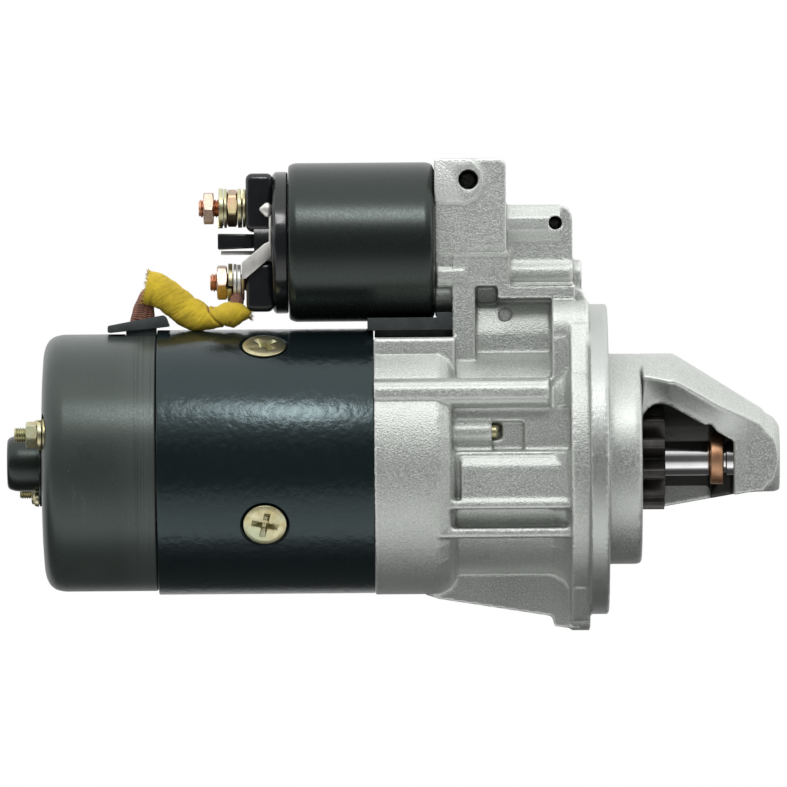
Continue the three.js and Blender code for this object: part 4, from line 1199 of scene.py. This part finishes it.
def make_seal():
    pad = block("housing_seal_detail", -101.2, -65.05, -20, 20, 55.1, 60.4)
    foot = block("foot", -98.2, -65.05, -12, 12, 52.1, 56)
    boolean(pad, [foot], "UNION")
    lip = block("lip", -72.0, -65.05, -20, 20, 59, 62.6)
    boolean(lip, [lathe("seat_cut", [(-80, 0), (-80, 24.3), (-60, 24.3), (-60, 0)], 96, 0, SOLENOID_Z - 8)])
    boolean(pad, [lip], "UNION")
    case_cut = lathe("case_cut", [(-140, 0), (-140, SOLENOID_R + 0.3), (-60, SOLENOID_R + 0.3), (-60, 0)],
                     144,
                     0, SOLENOID_Z)
    yoke_cut = lathe("yoke_cut", [(-130, 0), (-130, YOKE_R + 0.3), (-98.5, YOKE_R + 0.3), (-98.5, 0)], 144)
    boolean(pad, [case_cut, yoke_cut])
    bevelled(pad, 0.7, 3, 50)
    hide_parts("housing_seal")
    dress(pad, RUBBER)


def make_grommet():
    outline = rounded([(-211, 54.9), (-211, 57.9), (-187.2, 62.3), (-186.2, 61.2), (-184.8, 57.5),
                       (-190, 56.9)],
                      0.9, 4, closed=True)
    slab = prism("lead_grommet_detail", outline, "Y", -11, 11)
    plug = block("plug", -203.2, -190.5, -8.9, 8.9, 49, 57.5)
    boolean(slab, [plug], "UNION")
    cover_cut = lathe("cover_cut", [(-225, 0), (-225, COVER_R + 0.3), (-203.4, COVER_R + 0.3), (-203.4, 0)],
                      144)
    path, _ = smooth_path([(-197.2, 0, 44), (-197.2, 0, 56), (-197.4, -0.6, 61), (-197.6, -1, 66)], 16)
    lead_cut = tube("lead_cut", path, 4.0, 24)
    boolean(slab, [cover_cut, lead_cut])
    bevelled(slab, 0.45, 2, 50)
    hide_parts("lead_grommet")
    dress(slab, RUBBER)


make_seal()
make_grommet()


# ------------------------------------------------------------------ field lead and its sleeve

LEAD_PATH = [(-197.2, 0, 46.5), (-196.8, 0, 56), (-196.1, -1, 62), (-194.9, -2, 67.5), (-192.2, -3, 71.6),
             (-185, -3.5, 71.2), (-178.6, -5, 67.2), (-173, -7, 63.8), (-167, -8.5, 62.4),
             (-160.6, -9.5, 62.8),
             (-157.2, -8.6, 65.0), (-156.3, -6, 67.6), (-156.3, -2.6, 69.6), (-156.3, 0, 71.6)]
SLEEVE_PATH = [(-194.4, -3.0, 73.9), (-190.2, -3.2, 73.0), (-185.5, -3.6, 70.2), (-181.0, -4.4, 66.9),
               (-176.6, -5.6, 63.7), (-171.5, -7.0, 61.4), (-166, -8.2, 60.8), (-160, -9.2, 62.1),
               (-155, -9.4, 62.7),
               (-151, -9.2, 62.2)]


def unwrap(obj, rows, sides):
    """UV map of a tube: u runs along it, v round it."""
    layer = obj.data.uv_layers.new(name="weave")
    for poly in obj.data.polygons:
        spots = [(v // sides, v % sides) for v in poly.vertices]
        wraps = max(c for _, c in spots) - min(c for _, c in spots) > sides / 2
        for loop, (r, c) in zip(poly.loop_indices, spots):
            v = (c + sides if wraps and c < sides / 2 else c) / sides
            layer.data[loop].uv = (r / (rows - 1), v)


def oval(place, angle, flats):
    """Radius of an ellipse whose half width and height are given along the tube."""
    at = [f[0] for f in flats]
    a = np.interp(place, at, [f[1] for f in flats])
    b = np.interp(place, at, [f[2] for f in flats])
    return a * b / math.hypot(b * math.cos(angle), a * math.sin(angle))


def tube_mesh(name, path, radius, sides):
    """Tube without caps whose vertex order is kept, so that it can be unwrapped."""
    _, us, vs = path_frames(path)
    verts = []
    for i in range(len(path)):
        for k in range(sides):
            a = TAU * k / sides
            r = radius(i / (len(path) - 1), a)
            verts.append(tuple((path[i] + us[i] * r * math.cos(a) + vs[i] * r * math.sin(a)) * MM))
    mesh = bpy.data.meshes.new(name)
    mesh.from_pydata(verts, [], grid_faces(len(path), sides))
    obj = bpy.data.objects.new(name, mesh)
    bpy.context.scene.collection.objects.link(obj)
    unwrap(obj, len(path), sides)
    soften(obj, 80)
    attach(obj, "frame")
    return obj


def ripple(seed, count, along, around):
    """A sum of seeded waves along and round a tube, in the range of about -1 to 1."""
    rng = random.Random(seed)
    waves = [(rng.uniform(*along), rng.randint(*around), rng.uniform(0, TAU)) for _ in range(count)]

    def value(place, angle):
        total = sum(math.sin(TAU * f * place + n * angle + p) for f, n, p in waves)
        return total / math.sqrt(count)
    return value


def make_lead():
    rows, sides = 260, 48
    path, _ = smooth_path(LEAD_PATH, rows)
    flats = [(0, 2.8, 2.8), (0.10, 3.7, 3.0), (0.15, 5.2, 3.0), (0.2, 5.1, 3.0), (0.265, 4.1, 3.0),
             (0.33, 3.5, 2.9),
             (0.42, 3.2, 2.8), (1, 2.9, 2.8)]
    lump = ripple(41, 9, (3, 16), (0, 4))

    def radius(place, angle):
        return oval(place, angle, flats) * (1 + 0.045 * lump(place, angle))
    lead = tube_mesh("field_lead_braid", path, radius, sides)
    lead.data.materials.append(BRAID)
    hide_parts("field_lead")
    for index, (x0, x1, reach) in enumerate(((-157.7, -156.4, 7.9), (-156.1, -154.6, 7.6))):
        eyelet = washer(f"field_lead_eyelet_{index + 1}", 4.2, reach, x0, x1, 0, MOTOR_Z)
        tail = prism("tail", [(-3.2, 66.6), (3.0, 66.4), (4.6, 70.2), (-4.6, 70.4)], "X", x0 + 0.1, x1 - 0.1)
        bevelled(tail, 0.25, 2)
        eyelet = joined(f"field_lead_eyelet_{index + 1}", [eyelet, tail])
        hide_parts("field_lead")
        dress(eyelet, TIN)


def make_sleeve():
    rows, sides = 150, 112
    path, _ = smooth_path(SLEEVE_PATH, rows)
    _, us, vs = path_frames(path)
    flats = [(0, 7.4, 7.0), (0.06, 7.3, 6.8), (0.2, 6.9, 6.3), (0.42, 6.5, 6.0), (0.54, 6.3, 5.6),
             (0.62, 5.0, 5.2),
             (0.70, 4.6, 5.2), (0.76, 5.0, 5.6), (0.84, 6.0, 6.0), (0.92, 4.4, 5.8), (1.0, 1.5, 4.4)]
    slow = ripple(7, 7, (0.8, 3.2), (1, 4))
    quick = ripple(19, 11, (5, 13), (1, 5))
    fine = ripple(23, 14, (14, 34), (3, 12))

    def radius(place, angle):
        row = round(place * (rows - 1))
        upward = us[row][2] * math.cos(angle) + vs[row][2] * math.sin(angle)
        base = oval(place, angle, flats)
        folds = 0.42 * slow(place, angle) + 0.14 * quick(place, angle) + 0.06 * fine(place, angle)
        pinch = 1.0 * math.exp(-((place - 0.69 + 0.07 * upward) / 0.014) ** 2)
        return max(base * 0.7, base + folds * min(1.0, 0.4 + place * 3) - pinch)
    sleeve = tube_mesh("lead_sleeve_cloth", path, radius, sides)
    mod = sleeve.modifiers.new("wall", "SOLIDIFY")
    mod.thickness = 0.7 * MM
    mod.offset = -1
    mod.use_rim = True
    bake_modifiers(sleeve, 70)
    sleeve.data.materials.append(CLOTH)
    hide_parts("lead_sleeve")
    rng = random.Random(5)
    threads = []
    for count, row, outward in ((190, 0, -1), (80, rows - 1, 1)):
        tangent = (path[1] - path[0]) if row == 0 else (path[-1] - path[-2])
        tangent = tangent / np.linalg.norm(tangent) * outward
        for _ in range(count):
            a = rng.uniform(0, TAU)
            r = radius(row / (rows - 1), a) - rng.uniform(0.05, 0.6)
            spoke = us[row] * math.cos(a) + vs[row] * math.sin(a)
            start = path[row] + spoke * r - tangent * 0.4
            reach = rng.uniform(0.5, 1.5)
            bend = np.array([rng.uniform(-0.5, 0.5) for _ in range(3)])
            curl = spoke * rng.uniform(-0.2, 0.7)
            middle = start + (tangent + curl * 0.5 + bend * 0.4) * (reach * 0.6 + 0.4)
            tip = start + (tangent + curl + bend) * (reach + 0.4)
            line, _ = smooth_path([start, middle, tip], 5)
            threads.append(tube("thread", line, lambda p, _a: 0.13 * (1 - 0.6 * p), 5))
    fray = joined("lead_sleeve_fray", threads)
    dress(fray, FRAY)


make_lead()
make_sleeve()


# ------------------------------------------------------------------ pinion, shaft and collar

def tooth_outline(count, root, pitch_r, tip):
    points = []
    for i in range(count):
        for radius, offset in ((root, 0.05), (root + 0.9, 0.115), (16.2, 0.175), (pitch_r, 0.225),
                               (19.4, 0.285),
                               (20.6, 0.325), (tip - 0.25, 0.36), (tip, 0.385), (tip, 0.5), (tip, 0.615),
                               (tip - 0.25, 0.64), (20.6, 0.675), (19.4, 0.715), (pitch_r, 0.775),
                               (16.2, 0.825),
                               (root + 0.9, 0.885), (root, 0.95)):
            points.append(polar(radius, (i + offset) * 360 / count))
    return points


def make_pinion():
    outline = tooth_outline(PINION_TEETH, 14.2, 17.8, PINION_R)
    gear = prism("gear", outline, "X", 2.4, PINION_FACE, "pinion_body")
    ends = lathe("ends", [(1, 0), (1, 30), (22.4, 30), (PINION_FACE + 0.01, 19.2), (PINION_FACE + 0.01, 0)],
                 96,
                 body="pinion_body")
    boolean(gear, [ends], "INTERSECT")
    hub = lathe("hub", [(-27, 0), (-27, 21.6), (-24, 21.6), (-24, 13.5), (2.6, 13.5), (2.6, 0)], 96,
                body="pinion_body")
    boolean(gear, [hub], "UNION")
    bore = lathe("bore", [(-40, 0), (-40, 7.6), (23.0, 7.6), (25, 9.4), (25, 0)], 96, body="pinion_body")
    boolean(gear, [bore])
    bevelled(gear, 0.3, 2, 35)
    gear.name = "pinion_detail"
    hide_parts("pinion")
    dress(gear, OILED)


def make_shaft():
    profile = [(-249, 0), (-249, 6), (-248, 6.6), (-222, 6.6), (-222, 9), (-188, 9), (-188, 11), (-101, 11),
               (-101, 10.1), (-62, 10.1), (-62, 10), (-28, 10), (-28, 7.3), (42.9, 7.3), (42.9, 6.7),
               (43.9, 6.7),
               (43.9, 7.0), (48.4, 7.0), (48.4, 6.2), (50.2, 6.2), (50.2, 7.2), (67, 7.2), (68.4, 6),
               (68.4, 0)]
    shaft = lathe("armature_shaft_detail", rounded(profile, 0.25, 2), 96, body="armature")
    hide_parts("armature_shaft")
    dress(shaft, SHAFT)
    rim = [(43.3, 7.6), (43.3, 10.5), (43.7, 11), (48.5, 11), (48.9, 10.5), (48.9, 7.6)]
    collar = lathe("stop_collar_detail", rounded(rim, 0.3, 3, closed=True), 96, closed=True, body="armature")
    notch = block("notch", 42, 46.2, -1.4, 1.4, 9.8, 14, "armature")
    boolean(collar, [notch])
    bevelled(collar, 0.2, 2, 50)
    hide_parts("stop_collar")
    dress(collar, PALE_BRONZE)


make_pinion()
make_shaft()



# ------------------------------------------------------------------ end

INNER = {
    "steel": STEEL, "dark_steel": OILED, "copper": ENAMEL, "lamination": LAMINATE, "carbon": CARBON,
    "bronze": BRONZE, "cast_aluminium": CAST, "black_paint": SEMI, "satin_paint": SATIN, "tin": TIN,
    "yellow_zinc": ZINC, "black_plastic": MOULDING, "rubber": RUBBER, "braid": BRONZE, "yellow_cloth": RUBBER,
}


def dress_inner_nodes():
    """Every CAD node that still shows gets the detailed material of its record slot."""
    slots = {part["node"]: part["material_slot"] for part in frame["record"]["subparts"]}
    for node, obj in frame["nodes"].items():
        if obj.hide_render:
            continue
        for place in range(len(obj.data.materials)):
            obj.data.materials[place] = INNER[slots[node]]


dress_inner_nodes()
